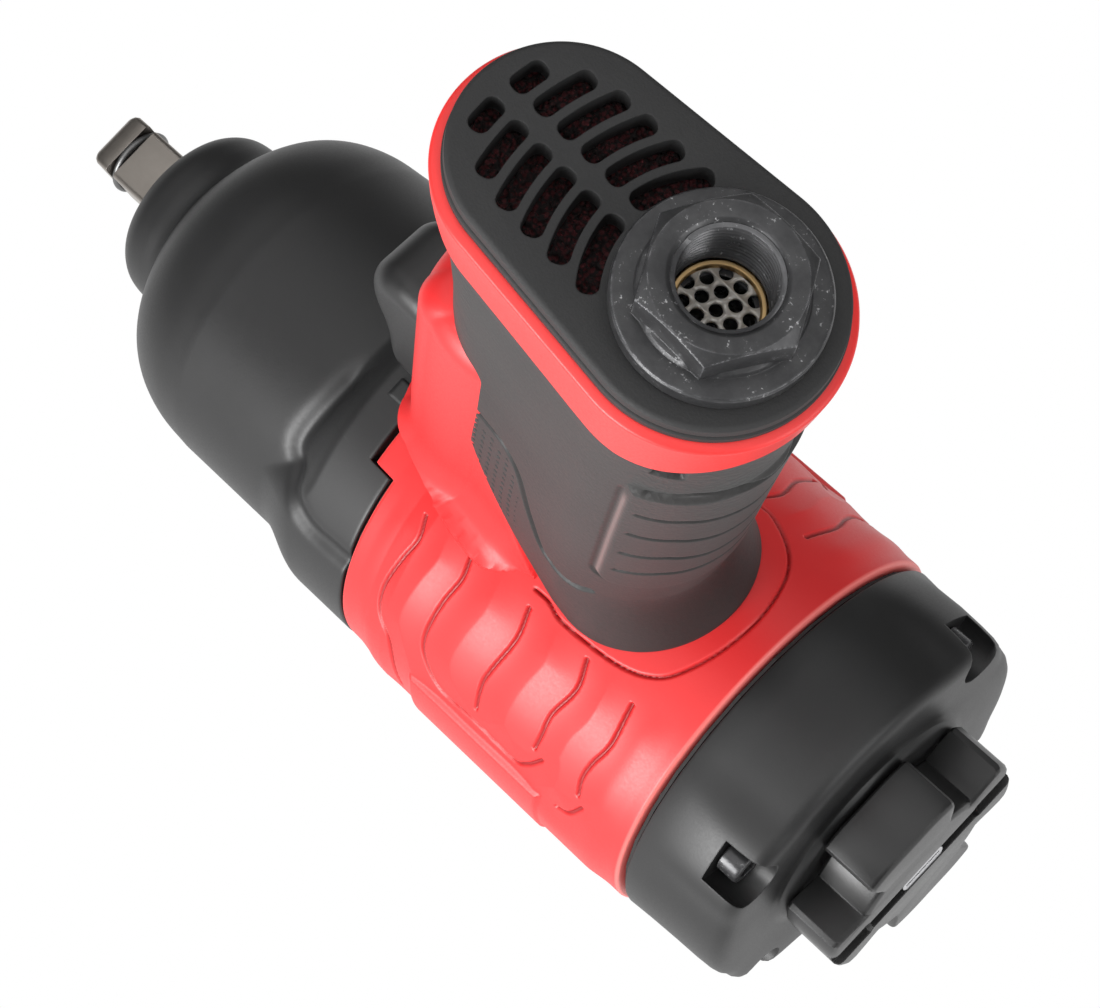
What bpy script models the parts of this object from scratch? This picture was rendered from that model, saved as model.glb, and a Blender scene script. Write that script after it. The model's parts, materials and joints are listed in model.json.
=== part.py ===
"""Pistol-grip pneumatic impact wrench, modelled as the separate pieces it comes apart into.

Frame: the origin is the centre of the square drive's end face. +X points out of the nose along
the spindle, +Z is up, and the handle hangs down, its lower end leaning back. Lengths are metres.

Two groups of pieces use two axes. Spindle pieces are turned about X. Handle pieces are made about
the air inlet's axis, in the frame of the empty handle_frame: its X points forwards, its Y to the
left and its Z up the handle, with Z = 0 on the outer face of the base plate.
"""

import math

import bmesh
import bpy
from mathutils import Matrix, Vector

MM = 0.001
GAP = 0.3 * MM

# Spindle line, as distances from the drive's end face. They are used as negative X.
DRIVE_SIZE = 12.7 * MM
DRIVE_LENGTH = 18.0 * MM
DRIVE_TURN = math.radians(-11.0)
NOSE = 20.3 * MM
CASE_SEAM = 110.8 * MM
CAP_SEAM = 185.4 * MM
TONGUE_FRONT = 106.0 * MM
TONGUE_HALF_ANGLE = math.radians(31.5)
CAP_REAR = 209.0 * MM
KNOB_REAR = 222.2 * MM

BARREL_RADIUS = 40.5 * MM
SIDE_PAD_RADIUS = 42.0 * MM
MOTOR_BORE = 33.0 * MM
CASE_BORE = 31.5 * MM
CAP_RADIUS = 40.0 * MM
KNOB_RADIUS = 24.0 * MM
KNOB_ROOT = 16.5 * MM
KNOB_TURN = math.radians(-10.0)

# Screws through the cap, the motor housing and into the case.
BOLT_CIRCLE = 36.2 * MM
BOLT_RADIUS = 1.8 * MM
BOLT_HEAD_RADIUS = 3.3 * MM
BOLT_SEAT = 200.5 * MM
BOLT_TIP = 98.0 * MM
BOLT_ANGLES = [math.radians(angle) for angle in (48, 132, 228, 312)]

# Air motor.
SHAFT_RADIUS = 9.2 * MM
PLATE_RADIUS = MOTOR_BORE - GAP
ROTOR_RADIUS = 22.5 * MM
LINER_BORE = 26.0 * MM
LINER_OFFSET = 3.2 * MM
LINER_FRONT = 119.3 * MM
LINER_REAR = 170.0 * MM
VANE_COUNT = 6
VANE_THICKNESS = 2.0 * MM
VANE_HEIGHT = 7.4 * MM

# Hammer mechanism.
PIN_CIRCLE = 25.5 * MM
PIN_RADIUS = 3.5 * MM
HAMMER_RADIUS = 25.0 * MM
HAMMER_LENGTH = 17.0 * MM
HAMMER_FRONT = 57.0 * MM
JAW_RADIUS = 12.5 * MM

# Handle. The inlet's axis meets the base plate's outer face at HANDLE_FOOT.
HANDLE_FOOT = Vector((-176.6, 0.0, -153.8)) * MM
HANDLE_LEAN = math.radians(12.5)
PLATE_THICKNESS = 4.0 * MM
PLATE_REAR = (1.3 * MM, 19.4 * MM)
PLATE_FRONT = (29.3 * MM, 16.8 * MM)
BAND_TOP = 13.5 * MM
BAND_RISE = 6.5 * MM
BAND_HALF = 17.0 * MM
GRIP_THICKNESS = 3.0 * MM
GRIP_FRONT = 36.0 * MM
INLET_FACE = -9.9 * MM
HEX_APOTHEM = 11.0 * MM
FLANGE_RADIUS = 15.2 * MM
FLANGE_HEIGHT = 3.7 * MM
THREAD_RADIUS = 7.3 * MM
MOUTH_RADIUS = 8.1 * MM
BUSHING_RADIUS = 10.5 * MM
BUSHING_TOP = 30.0 * MM
SLEEVE_RADIUS = 12.8 * MM
PASSAGE_RADIUS = 6.0 * MM
CHAMBER_RADIUS = 8.0 * MM
CHAMBER_FLOOR = 73.5 * MM
CHAMBER_TOP = 108.0 * MM
SEAT_HEIGHT = 88.0 * MM
ROD_HEIGHT = 98.0 * MM
TRIGGER_HALF = 8.6 * MM
POCKET_FLOOR = 31.5 * MM

# Handle cross-sections: height, then the centre and radius of the rear and the front round.
HANDLE_SECTIONS = (
    (4.3, 1.3, 20.2, 29.3, 17.8),
    (9.5, 1.3, 19.8, 29.4, 17.4),
    (14.0, 1.3, 19.4, 29.4, 16.9),
    (20.5, 1.3, 18.9, 29.2, 16.1),
    (27.0, 1.3, 18.7, 28.8, 15.4),
    (45.0, 1.3, 18.5, 27.2, 14.9),
    (62.0, 1.3, 18.4, 26.6, 14.7),
    (76.0, 1.3, 18.4, 27.2, 14.6),
    (88.0, 1.3, 18.4, 28.0, 14.6),
    (104.0, 1.3, 18.4, 28.2, 14.6),
    (116.0, 1.3, 18.4, 27.0, 14.6),
    (136.0, 1.3, 18.4, 26.0, 14.6),
)


# The red cheeks beside the trigger: height, front reach and half-width.
CHEEK_SECTIONS = (
    (56.4, 41.6, 11.2),
    (58.6, 43.4, 13.2),
    (62.0, 44.2, 14.2),
    (106.0, 44.2, 14.2),
    (122.0, 43.6, 14.2),
)

# Where the grip's rubber ends and the red neck starts: distance ahead of the inlet, then height.
RUBBER_EDGE = (
    (2.0, 126.0),
    (11.0, 116.0),
    (17.0, 108.0),
    (26.0, 93.0),
    (32.0, 76.0),
    (35.0, 65.0),
    (36.0, 56.0),
)


# The exhaust chamber's sections, given the same way as the handle's.
EXHAUST_SECTIONS = (
    (0.0, 21.0, 13.0, 31.0, 12.4),
    (9.0, 21.0, 12.6, 31.0, 12.2),
    (12.5, 21.5, 10.2, 31.5, 9.6),
    (30.0, 21.5, 9.4, 31.0, 8.8),
    (37.0, 21.5, 9.0, 28.3, 8.5),
    (72.0, 21.5, 9.0, 28.3, 8.5),
)


def make_material(name, colour, roughness, metallic=0.0):
    """A plain Principled BSDF material with these values."""
    material = bpy.data.materials.new(name)
    material.use_nodes = True
    shader = material.node_tree.nodes["Principled BSDF"]
    shader.inputs["Base Color"].default_value = (*colour, 1.0)
    shader.inputs["Roughness"].default_value = roughness
    shader.inputs["Metallic"].default_value = metallic
    material.diffuse_color = (*colour, 1.0)
    return material


def add_object(name, mesh_data, look=None, parent=None, location=(0, 0, 0), turn=(0, 0, 0)):
    """Makes an object of a bmesh, shaded smooth with sharp edges kept."""
    bmesh.ops.recalc_face_normals(mesh_data, faces=mesh_data.faces)
    mesh = bpy.data.meshes.new(name)
    mesh_data.to_mesh(mesh)
    mesh_data.free()
    mesh.shade_smooth()
    mesh.set_sharp_from_angle(angle=math.radians(35))
    obj = bpy.data.objects.new(name, mesh)
    bpy.context.scene.collection.objects.link(obj)
    obj.location = location
    obj.rotation_euler = turn
    obj.parent = parent
    if look:
        mesh.materials.append(make_material(name + "_material", *look))
    return obj


def as_cutter(obj):
    obj.hide_render = True
    obj.display_type = "WIRE"
    return obj


def combine(target, cutter, operation="DIFFERENCE"):
    modifier = target.modifiers.new(cutter.name, "BOOLEAN")
    modifier.object = as_cutter(cutter)
    modifier.operation = operation
    modifier.solver = "EXACT"
    return target


def turned(profile, axis="X", segments=32):
    """A bmesh of a closed (position, radius) profile turned about X or Z."""
    mesh_data = bmesh.new()
    corners = []
    for position, radius in profile:
        point = (position, radius, 0) if axis == "X" else (radius, 0, position)
        corners.append(mesh_data.verts.new(point))
    edges = [mesh_data.edges.new((corners[i - 1], corners[i])) for i in range(len(corners))]
    direction = (1, 0, 0) if axis == "X" else (0, 0, 1)
    bmesh.ops.spin(
        mesh_data,
        geom=corners + edges,
        cent=(0, 0, 0),
        axis=direction,
        angle=2 * math.pi,
        steps=segments,
    )
    bmesh.ops.remove_doubles(mesh_data, verts=mesh_data.verts, dist=1e-7)
    return mesh_data


def tube(inner, outer, low, high, axis="X", segments=20):
    """A ring of rectangular section."""
    profile = [(low, inner), (low, outer), (high, outer), (high, inner)]
    return turned(profile, axis, segments)


def rod(radius, low, high, axis="X", segments=20):
    """A solid cylinder about X or Z."""
    outline = arc((0, 0), radius, 0, 2 * math.pi * (segments - 1) / segments, segments - 1)
    return lofted([(low, outline), (high, outline)], axis)


def lofted(sections, axis="Z"):
    """A solid through closed outlines of equal point count: [(position, [(a, b), ...]), ...]."""
    mesh_data = bmesh.new()
    rings = []
    for position, outline in sections:
        if axis == "Z":
            points = [(a, b, position) for a, b in outline]
        elif axis == "X":
            points = [(position, a, b) for a, b in outline]
        else:
            points = [(a, position, b) for a, b in outline]
        rings.append([mesh_data.verts.new(point) for point in points])
    count = len(rings[0])
    for lower, upper in zip(rings, rings[1:]):
        for i in range(count):
            j = (i + 1) % count
            mesh_data.faces.new((lower[i], lower[j], upper[j], upper[i]))
    mesh_data.faces.new(rings[0])
    mesh_data.faces.new(rings[-1])
    return mesh_data


def arc(centre, radius, first, last, steps):
    """Points on an arc, both ends included."""
    points = []
    for i in range(steps + 1):
        angle = first + (last - first) * i / steps
        points.append((centre[0] + radius * math.cos(angle), centre[1] + radius * math.sin(angle)))
    return points


def rounded_hull(rear, front, grow=0.0, steps=7):
    """The outline round a rear and a front circle, each a (centre, radius) on the first axis."""
    lean = math.acos((rear[1] - front[1]) / (front[0] - rear[0]))
    outline = arc((front[0], 0), front[1] + grow, -lean, lean, steps)
    outline += arc((rear[0], 0), rear[1] + grow, lean, 2 * math.pi - lean, steps + 2)
    return outline


def section_outline(section, grow=0.0):
    """The rounded hull of one row of a sections table."""
    _, rear, rear_radius, front, front_radius = (value * MM for value in section)
    return rounded_hull((rear, rear_radius), (front, front_radius), grow)


def section_at(rows, height):
    """A sections table read at any height, straight between its rows."""
    for lower, upper in zip(rows, rows[1:]):
        if height <= upper[0] * MM:
            break
    part = (height / MM - lower[0]) / (upper[0] - lower[0])
    part = min(max(part, 0.0), 1.0)
    return tuple(a + (b - a) * part for a, b in zip(lower, upper))


def section_loft(rows, low, high, grow=0.0):
    """A solid through a sections table between two heights, in the handle's frame."""
    apart = 0.1 * MM
    between = [row for row in rows if low + apart < row[0] * MM < high - apart]
    sections = [(low, section_at(rows, low)), *((row[0] * MM, row) for row in between)]
    sections.append((high, section_at(rows, high)))
    return lofted([(height, section_outline(row, grow)) for height, row in sections])


def handle_loft(low, high, grow=0.0):
    return section_loft(HANDLE_SECTIONS, low, high, grow)


def box_between(low, high):
    """A bmesh box with these opposite corners."""
    mesh_data = bmesh.new()
    bmesh.ops.create_cube(mesh_data, size=1.0)
    size = Vector(high) - Vector(low)
    middle = (Vector(high) + Vector(low)) / 2
    bmesh.ops.transform(
        mesh_data, matrix=Matrix.Translation(middle) @ Matrix.Diagonal((*size, 1.0)), verts=mesh_data.verts
    )
    return mesh_data


def spindle_point(radius, angle):
    """(y, z) at a radius and an angle from straight down, turning towards +Y."""
    return radius * math.sin(angle), -radius * math.cos(angle)


def polygon(radius, corners, start=0.0):
    """A regular polygon's corners, for an apothem equal to the radius."""
    reach = radius / math.cos(math.pi / corners)
    step = 2 * math.pi / corners
    return [
        (reach * math.cos(start + step * (i + 0.5)), reach * math.sin(start + step * (i + 0.5)))
        for i in range(corners)
    ]


def ring_sector(inner, outer, low, high, first, last, steps=10):
    """Part of a ring about the spindle, between two angles measured from straight down."""
    outline = arc((0, 0), outer, first, last, steps)
    outline += arc((0, 0), inner, last, first, steps)
    return lofted([(low, [(b, -a) for a, b in outline]), (high, [(b, -a) for a, b in outline])], "X")


# Front end: drive, hammers and their case.


def square_outline(half, chamfer):
    """A square with cut corners."""
    a, b = half, half - chamfer
    return [(a, -b), (a, b), (b, a), (-b, a), (-a, b), (-a, -b), (-b, -a), (b, -a)]


def make_anvil():
    half = DRIVE_SIZE / 2
    sections = [
        (0.0, square_outline(half - 1.3 * MM, 1.6 * MM)),
        (-1.4 * MM, square_outline(half, 1.1 * MM)),
        (-DRIVE_LENGTH - 4 * MM, square_outline(half, 1.1 * MM)),
    ]
    anvil = add_object("anvil", lofted(sections, "X"), ((0.33, 0.3, 0.27), 0.35, 1.0))
    shank = [
        (-DRIVE_LENGTH, 0.0),
        (-DRIVE_LENGTH, 7.4 * MM),
        (-DRIVE_LENGTH - 2.2 * MM, SHAFT_RADIUS),
        (-90 * MM, SHAFT_RADIUS),
        (-90 * MM, 6.0 * MM),
        (-95.5 * MM, 6.0 * MM),
        (-95.5 * MM, 0.0),
    ]
    combine(anvil, add_object("anvil_shank", turned(shank, segments=20)), "UNION")
    jaw_half = 4.0 * MM
    reach = math.sqrt(JAW_RADIUS**2 - jaw_half**2)
    jaws = [
        (reach, -jaw_half),
        (JAW_RADIUS, 0.0),
        (reach, jaw_half),
        (-reach, jaw_half),
        (-JAW_RADIUS, 0.0),
        (-reach, -jaw_half),
    ]
    diagonal = math.radians(45) - DRIVE_TURN
    bar = add_object(
        "anvil_jaws",
        lofted([(-90.6 * MM, jaws), (-57.6 * MM, jaws)], "X"),
        turn=(diagonal, 0, 0),
    )
    bar.parent = anvil
    combine(anvil, bar, "UNION")
    groove = tube(4.2 * MM, 12 * MM, -7.2 * MM, -4.6 * MM, segments=20)
    combine(anvil, add_object("ring_groove", groove))
    anvil.rotation_euler = (DRIVE_TURN, 0, 0)
    return anvil


def make_socket_ring():
    """The split friction ring that holds a socket, over a rubber cushion ring."""
    ring = tube(5.7 * MM, 7.1 * MM, -6.8 * MM, -5.0 * MM, segments=20)
    look = ((0.12, 0.11, 0.1), 0.4, 1.0)
    socket_ring = add_object("socket_ring", ring, look)
    split = box_between((-8 * MM, -0.6 * MM, 4 * MM), (-4 * MM, 0.6 * MM, 9 * MM))
    combine(socket_ring, add_object("socket_ring_split", split))
    cushion = tube(4.5 * MM, 5.4 * MM, -6.6 * MM, -5.2 * MM, segments=16)
    add_object("cushion_ring", cushion, ((0.03, 0.03, 0.03), 0.8))


CASE_PROFILE = (
    (20.3, 14.0),
    (22.0, 17.5),
    (25.5, 19.6),
    (32.6, 19.9),
    (35.0, 22.8),
    (40.0, 29.6),
    (47.0, 33.6),
    (57.0, 35.7),
    (83.5, 35.7),
    (88.5, 38.0),
    (96.0, 39.6),
)


def make_hammer_case():
    outside = [(-x * MM, r * MM) for x, r in CASE_PROFILE] + [(-CASE_SEAM, 39.6 * MM)]
    inside = [
        (-CASE_SEAM, CASE_BORE),
        (-50.5 * MM, CASE_BORE),
        (-50.5 * MM, 12.3 * MM),
        (-25.6 * MM, 12.3 * MM),
        (-25.6 * MM, 13.3 * MM),
        (-NOSE - 0.8 * MM, 13.3 * MM),
        (-NOSE - 0.8 * MM, 12.0 * MM),
        (-NOSE, 12.0 * MM),
    ]
    case = add_object("hammer_case", turned(outside + inside), ((0.045, 0.045, 0.047), 0.55))
    for i, angle in enumerate(BOLT_ANGLES, 1):
        hole = add_object(
            f"case_bolt_hole_{i}",
            rod(BOLT_RADIUS + GAP, -CASE_SEAM - 2 * MM, -BOLT_TIP + GAP, segments=12),
        )
        hole.location = (0, *spindle_point(BOLT_CIRCLE, angle))
        combine(case, hole)
    combine(case, add_object("case_tongue_room", tongue_room()))


def tongue_room():
    """The space that the case leaves below for the housing's tongue."""
    spread = TONGUE_HALF_ANGLE + math.radians(0.6)
    return ring_sector(25 * MM, 50 * MM, -CASE_SEAM - 5 * MM, -TONGUE_FRONT, -spread, spread)


def make_nose_parts():
    seal = tube(SHAFT_RADIUS + GAP, 13.0 * MM, -25.2 * MM, -NOSE - 1.1 * MM, segments=20)
    add_object("nose_seal", seal, ((0.05, 0.05, 0.05), 0.6))
    bushing = tube(SHAFT_RADIUS + 0.25 * MM, 12.0 * MM, -50.0 * MM, -25.9 * MM, segments=20)
    add_object("anvil_bushing", bushing, ((0.6, 0.42, 0.2), 0.35, 1.0))


def make_hammer_cage():
    """Two end plates, one either side of the hammers, joined by a web on each side."""
    look = ((0.4, 0.4, 0.42), 0.35, 1.0)
    front = HAMMER_FRONT - 0.5 * MM
    rear = HAMMER_FRONT + 2 * HAMMER_LENGTH + 1.5 * MM
    profile = [
        (-front + 4 * MM, 10.0 * MM),
        (-front + 4 * MM, 29.5 * MM),
        (-rear - 5 * MM, 29.5 * MM),
        (-rear - 5 * MM, 6.5 * MM),
        (-rear, 6.5 * MM),
        (-rear, 27.0 * MM),
        (-front, 27.0 * MM),
        (-front, 10.0 * MM),
    ]
    cage = add_object("hammer_cage", turned(profile, segments=28), look)
    for side, name in ((1, "upper"), (-1, "lower")):
        window = box_between((-rear, -40 * MM, 12 * MM), (-front, 40 * MM, 40 * MM))
        bmesh.ops.scale(window, vec=(1, 1, side), verts=window.verts)
        combine(cage, add_object(f"cage_window_{name}", window))
    for i, side in enumerate((1, -1), 1):
        seat = (0, 0, side * PIN_CIRCLE)
        bore = rod(PIN_RADIUS + GAP, -rear - 3 * MM, -front + 3 * MM, segments=16)
        combine(cage, add_object(f"pin_bore_{i}", bore, location=seat))
        pin = rod(PIN_RADIUS, -rear - 2.6 * MM, -front + 2.6 * MM, segments=16)
        add_object(f"hammer_pin_{i}", pin, look, location=seat)


def make_hammer(name, front, pivot_side):
    """A ring round the anvil that swings on one pin, with room for the other pin opposite."""
    look = ((0.3, 0.3, 0.32), 0.4, 1.0)
    pivot = Vector((0, 0, pivot_side * PIN_CIRCLE))
    low, high = -front - HAMMER_LENGTH, -front
    ring = tube(14.5 * MM, HAMMER_RADIUS, low, high, segments=28)
    bmesh.ops.translate(ring, verts=ring.verts, vec=-pivot)
    hammer = add_object(name, ring, look, location=pivot)
    for side in (1, -1):
        dog = box_between((low, 12.9 * MM, -4 * MM), (high, 16.5 * MM, 4 * MM))
        bmesh.ops.scale(dog, vec=(1, side, 1), verts=dog.verts)
        bmesh.ops.translate(dog, verts=dog.verts, vec=-pivot)
        combine(hammer, add_object(f"{name}_dog_{side}", dog, location=pivot), "UNION")
    groove = rod(PIN_RADIUS + GAP, low - 1 * MM, high + 1 * MM, segments=16)
    combine(hammer, add_object(f"{name}_pivot_groove", groove, location=pivot))
    room = PIN_RADIUS + 3.6 * MM
    stop = box_between(
        (low - 1 * MM, -room, -2 * PIN_CIRCLE - 5 * MM),
        (high + 1 * MM, room, -2 * PIN_CIRCLE + PIN_RADIUS + GAP),
    )
    bmesh.ops.scale(stop, vec=(1, 1, pivot_side), verts=stop.verts)
    combine(hammer, add_object(f"{name}_stop_slot", stop, location=pivot))


# Air motor.


def make_motor_plates():
    steel = ((0.42, 0.42, 0.44), 0.3, 1.0)
    front = [
        (-112.0, 32.7),
        (-112.0, 16.3),
        (-118.0, 16.3),
        (-118.0, 12.5),
        (-119.0, 12.5),
        (-119.0, 32.7),
    ]
    rear = [
        (-170.3, 32.7),
        (-170.3, 9.5),
        (-171.6, 9.5),
        (-171.6, 13.3),
        (-177.2, 13.3),
        (-177.2, 32.7),
    ]
    dowel = 28.6 * MM
    for name, profile in (("front_end_plate", front), ("rear_end_plate", rear)):
        plate = add_object(name, turned([(x * MM, r * MM) for x, r in profile], segments=28), steel)
        hole = add_object(
            name + "_dowel_hole",
            rod(1.8 * MM, -180 * MM, -110 * MM, segments=12),
            location=(0, 0, dowel),
        )
        combine(plate, hole)
    liner = add_object("cylinder", rod(PLATE_RADIUS, -LINER_REAR, -LINER_FRONT, segments=28), steel)
    bore = add_object(
        "cylinder_bore",
        rod(LINER_BORE, -LINER_REAR - 2 * MM, -LINER_FRONT + 2 * MM, segments=28),
    )
    bore.location = (0, 0, -LINER_OFFSET)
    combine(liner, bore)
    hole = add_object(
        "cylinder_dowel_hole",
        rod(1.8 * MM, -180 * MM, -110 * MM, segments=12),
        location=(0, 0, dowel),
    )
    combine(liner, hole)
    pin = rod(1.5 * MM, -176 * MM, -113 * MM, segments=12)
    add_object("cylinder_dowel", pin, steel, location=(0, 0, dowel))


def make_bearings():
    race = ((0.6, 0.6, 0.62), 0.25, 1.0)
    add_object("front_bearing_outer", tube(12.9 * MM, 16.0 * MM, -117.7 * MM, -112.3 * MM, segments=20), race)
    add_object("front_bearing_inner", tube(8.0 * MM, 11.2 * MM, -117.7 * MM, -112.3 * MM, segments=20), race)
    add_object("rear_bearing_outer", tube(10.6 * MM, 13.0 * MM, -176.9 * MM, -171.9 * MM, segments=20), race)
    add_object("rear_bearing_inner", tube(6.3 * MM, 8.8 * MM, -176.9 * MM, -171.9 * MM, segments=20), race)


def make_rotor():
    profile = [
        (-93.4, 0.0),
        (-93.4, 5.6),
        (-94.0, 6.2),
        (-108.0, 6.2),
        (-109.0, 7.7),
        (-119.7, 7.7),
        (-119.7, 22.5),
        (-169.6, 22.5),
        (-169.6, 6.0),
        (-177.0, 6.0),
        (-177.0, 0.0),
    ]
    profile = [(x * MM - 3.2 * MM * (x > -94.5), r * MM) for x, r in profile]
    rotor = add_object("rotor", turned(profile, segments=28), ((0.35, 0.35, 0.37), 0.35, 1.0))
    half = VANE_THICKNESS / 2 + GAP
    for i in range(VANE_COUNT):
        slot = box_between(
            (-172 * MM, -half, ROTOR_RADIUS - VANE_HEIGHT - 0.5 * MM),
            (-118 * MM, half, ROTOR_RADIUS + 2 * MM),
        )
        angle = math.radians(30 + 60 * i)
        combine(rotor, add_object(f"vane_slot_{i + 1}", slot, turn=(angle, 0, 0)))


def make_vanes():
    look = ((0.25, 0.16, 0.08), 0.6)
    half = VANE_THICKNESS / 2
    top = ROTOR_RADIUS - 0.1 * MM
    for i in range(VANE_COUNT):
        vane = box_between((-169.3 * MM, -half, top - VANE_HEIGHT), (-120.0 * MM, half, top))
        add_object(f"vane_{i + 1}", vane, look, turn=(math.radians(30 + 60 * i), 0, 0))


def make_gaskets():
    look = ((0.2, 0.16, 0.12), 0.8)
    for name, seam, inner in (("case_gasket", CASE_SEAM, MOTOR_BORE), ("cap_gasket", CAP_SEAM, MOTOR_BORE)):
        ring = tube(inner + 0.2 * MM, 39.0 * MM, -seam - 0.9 * MM, -seam - GAP, segments=28)
        gasket = add_object(name, ring, look)
        for i, angle in enumerate(BOLT_ANGLES, 1):
            hole = add_object(
                f"{name}_hole_{i}",
                rod(BOLT_RADIUS + GAP, -seam - 3 * MM, -seam + 3 * MM, segments=12),
            )
            hole.location = (0, *spindle_point(BOLT_CIRCLE, angle))
            combine(gasket, hole)
        if seam == CASE_SEAM:
            combine(gasket, add_object("gasket_tongue_room", tongue_room()))


# Motor housing with the handle's core.


def in_handle(name, mesh_data, handle, look=None):
    return add_object(name, mesh_data, look, parent=handle)


def make_motor_housing(handle):
    look = ((0.72, 0.045, 0.04), 0.42)
    front = -CASE_SEAM - 0.6 * MM
    rear = -CAP_SEAM
    barrel = [
        (front, 39.5 * MM),
        (front - 6 * MM, 39.7 * MM),
        (front - 11 * MM, BARREL_RADIUS),
        (rear, BARREL_RADIUS),
        (rear, MOTOR_BORE - 6 * MM),
        (front, MOTOR_BORE - 6 * MM),
    ]
    housing = add_object("motor_housing", turned(barrel, segments=40), look)
    for side in (1, -1):
        spread = math.radians(17)
        middle = side * math.pi / 2
        pad = arc((0, 0), SIDE_PAD_RADIUS, middle - spread, middle + spread, 5)
        pad += arc((0, 0), 36.0 * MM, middle + spread, middle - spread, 5)
        outline = [(b_a[1], -b_a[0]) for b_a in pad]
        solid = add_object(f"side_pad_{side}", lofted([(rear + 4 * MM, outline), (-126 * MM, outline)], "X"))
        combine(housing, solid, "UNION")
    core = handle_loft(PLATE_THICKNESS + GAP, 136 * MM, -GRIP_THICKNESS - GAP)
    combine(housing, in_handle("handle_core", core, handle), "UNION")
    band = in_handle("handle_band", handle_loft(PLATE_THICKNESS + GAP, 26 * MM, -0.05 * MM), handle)
    combine(band, in_handle("band_edge", band_region(0.0), handle), "INTERSECT")
    combine(housing, band, "UNION")
    spine = in_handle("handle_spine", handle_loft(PLATE_THICKNESS + 1 * MM, 134 * MM, -0.15 * MM), handle)
    combine(spine, in_handle("trigger_cheeks", cheek_loft(), handle), "UNION")
    combine(spine, in_handle("spine_region", neck_region(GAP), handle), "INTERSECT")
    combine(housing, spine, "UNION")
    shape_tongue(housing)
    cut_motor_bores(housing)
    cut_handle_bores(housing, handle)
    return housing


def band_region(gap):
    """Everything below the red band's upper edge, which is higher at the sides than at the ends."""
    outline = [(-30 * MM, 0.0), (30 * MM, 0.0)]
    for step in range(10, -11, -1):
        across = 2.5 * MM * step
        outline.append((across, BAND_TOP + gap + BAND_RISE * min((across / BAND_HALF) ** 2, 1.3)))
    return lofted([(-45 * MM, outline), (75 * MM, outline)], "X")


def neck_region(gap):
    """Everything ahead of the rubber's edge, where the housing shows instead of the grip."""
    outline = [(u * MM + gap, h * MM + gap) for u, h in RUBBER_EDGE]
    foot = RUBBER_EDGE[-1][1] * MM + gap
    outline += [(80 * MM, foot), (80 * MM, 150 * MM), (RUBBER_EDGE[0][0] * MM + gap, 150 * MM)]
    return lofted([(-40 * MM, outline), (40 * MM, outline)], "Y")


def cheek_loft():
    """The block that the trigger slides in, flat behind and rounded at its front corners."""
    corner = 5.0 * MM
    rear = GRIP_FRONT - 7 * MM
    sections = []
    for height, reach, half in CHEEK_SECTIONS:
        front, side = reach * MM - corner, half * MM - corner
        outline = [(rear, -side - corner), *arc((front, -side), corner, -math.pi / 2, 0, 4)]
        outline += [*arc((front, side), corner, 0, math.pi / 2, 4), (rear, side + corner)]
        sections.append((height * MM, outline))
    return lofted(sections)


def shape_tongue(housing):
    """Adds the tongue that reaches under the case, and clears the housing away from the case."""
    front = -TONGUE_FRONT - GAP
    seam = -CASE_SEAM - 1.2 * MM
    spread = TONGUE_HALF_ANGLE + math.radians(2.5)
    outer = BARREL_RADIUS - 0.1 * MM
    tongue = ring_sector(MOTOR_BORE - 2 * MM, outer, seam - 3 * MM, front + 1 * MM, -spread, spread)
    combine(housing, add_object("tongue", tongue), "UNION")
    room = rod(BARREL_RADIUS + 0.4 * MM, front, front + 60 * MM, segments=28)
    combine(housing, add_object("case_room_front", room))
    first, last = TONGUE_HALF_ANGLE, 2 * math.pi - TONGUE_HALF_ANGLE
    around = ring_sector(20 * MM, BARREL_RADIUS + 0.6 * MM, seam, front + 1 * MM, first, last, 34)
    combine(housing, add_object("case_room_around", around))


def cut_motor_bores(housing):
    bore = rod(MOTOR_BORE, -CAP_SEAM - 5 * MM, -CASE_SEAM + 8 * MM, segments=40)
    combine(housing, add_object("motor_bore", bore))
    for i, angle in enumerate(BOLT_ANGLES, 1):
        hole = add_object(
            f"housing_bolt_hole_{i}",
            rod(BOLT_RADIUS + GAP, -CAP_SEAM - 5 * MM, -CASE_SEAM + 5 * MM, segments=12),
        )
        hole.location = (0, *spindle_point(BOLT_CIRCLE, angle))
        combine(housing, hole)


def cut_handle_bores(housing, handle):
    steps = [
        (0.0, 0.0),
        (0.0, BUSHING_RADIUS + 0.6 * MM),
        (BUSHING_TOP + GAP, BUSHING_RADIUS + 0.6 * MM),
        (BUSHING_TOP + GAP, PASSAGE_RADIUS),
        (CHAMBER_FLOOR, PASSAGE_RADIUS),
        (CHAMBER_FLOOR, CHAMBER_RADIUS),
        (CHAMBER_TOP, CHAMBER_RADIUS),
        (CHAMBER_TOP, 0.0),
    ]
    combine(housing, in_handle("inlet_passage", turned(steps, "Z", 24), handle))
    exhaust = in_handle("exhaust_passage", section_loft(EXHAUST_SECTIONS, 0.0, 72 * MM), handle)
    sleeve = in_handle("inlet_sleeve", rod(SLEEVE_RADIUS, -5 * MM, 34 * MM, "Z", 24), handle)
    combine(exhaust, sleeve)
    combine(housing, exhaust)
    passage = rod(3.9 * MM, 6.5 * MM, 50 * MM, "X", 20)
    bmesh.ops.translate(passage, verts=passage.verts, vec=(0, 0, ROD_HEIGHT))
    combine(housing, in_handle("rod_passage", passage, handle))
    side = TRIGGER_HALF + GAP
    pocket = box_between((POCKET_FLOOR, -side, 83.4 * MM), (62 * MM, side, 121.0 * MM))
    combine(housing, in_handle("trigger_pocket", pocket, handle))


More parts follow.
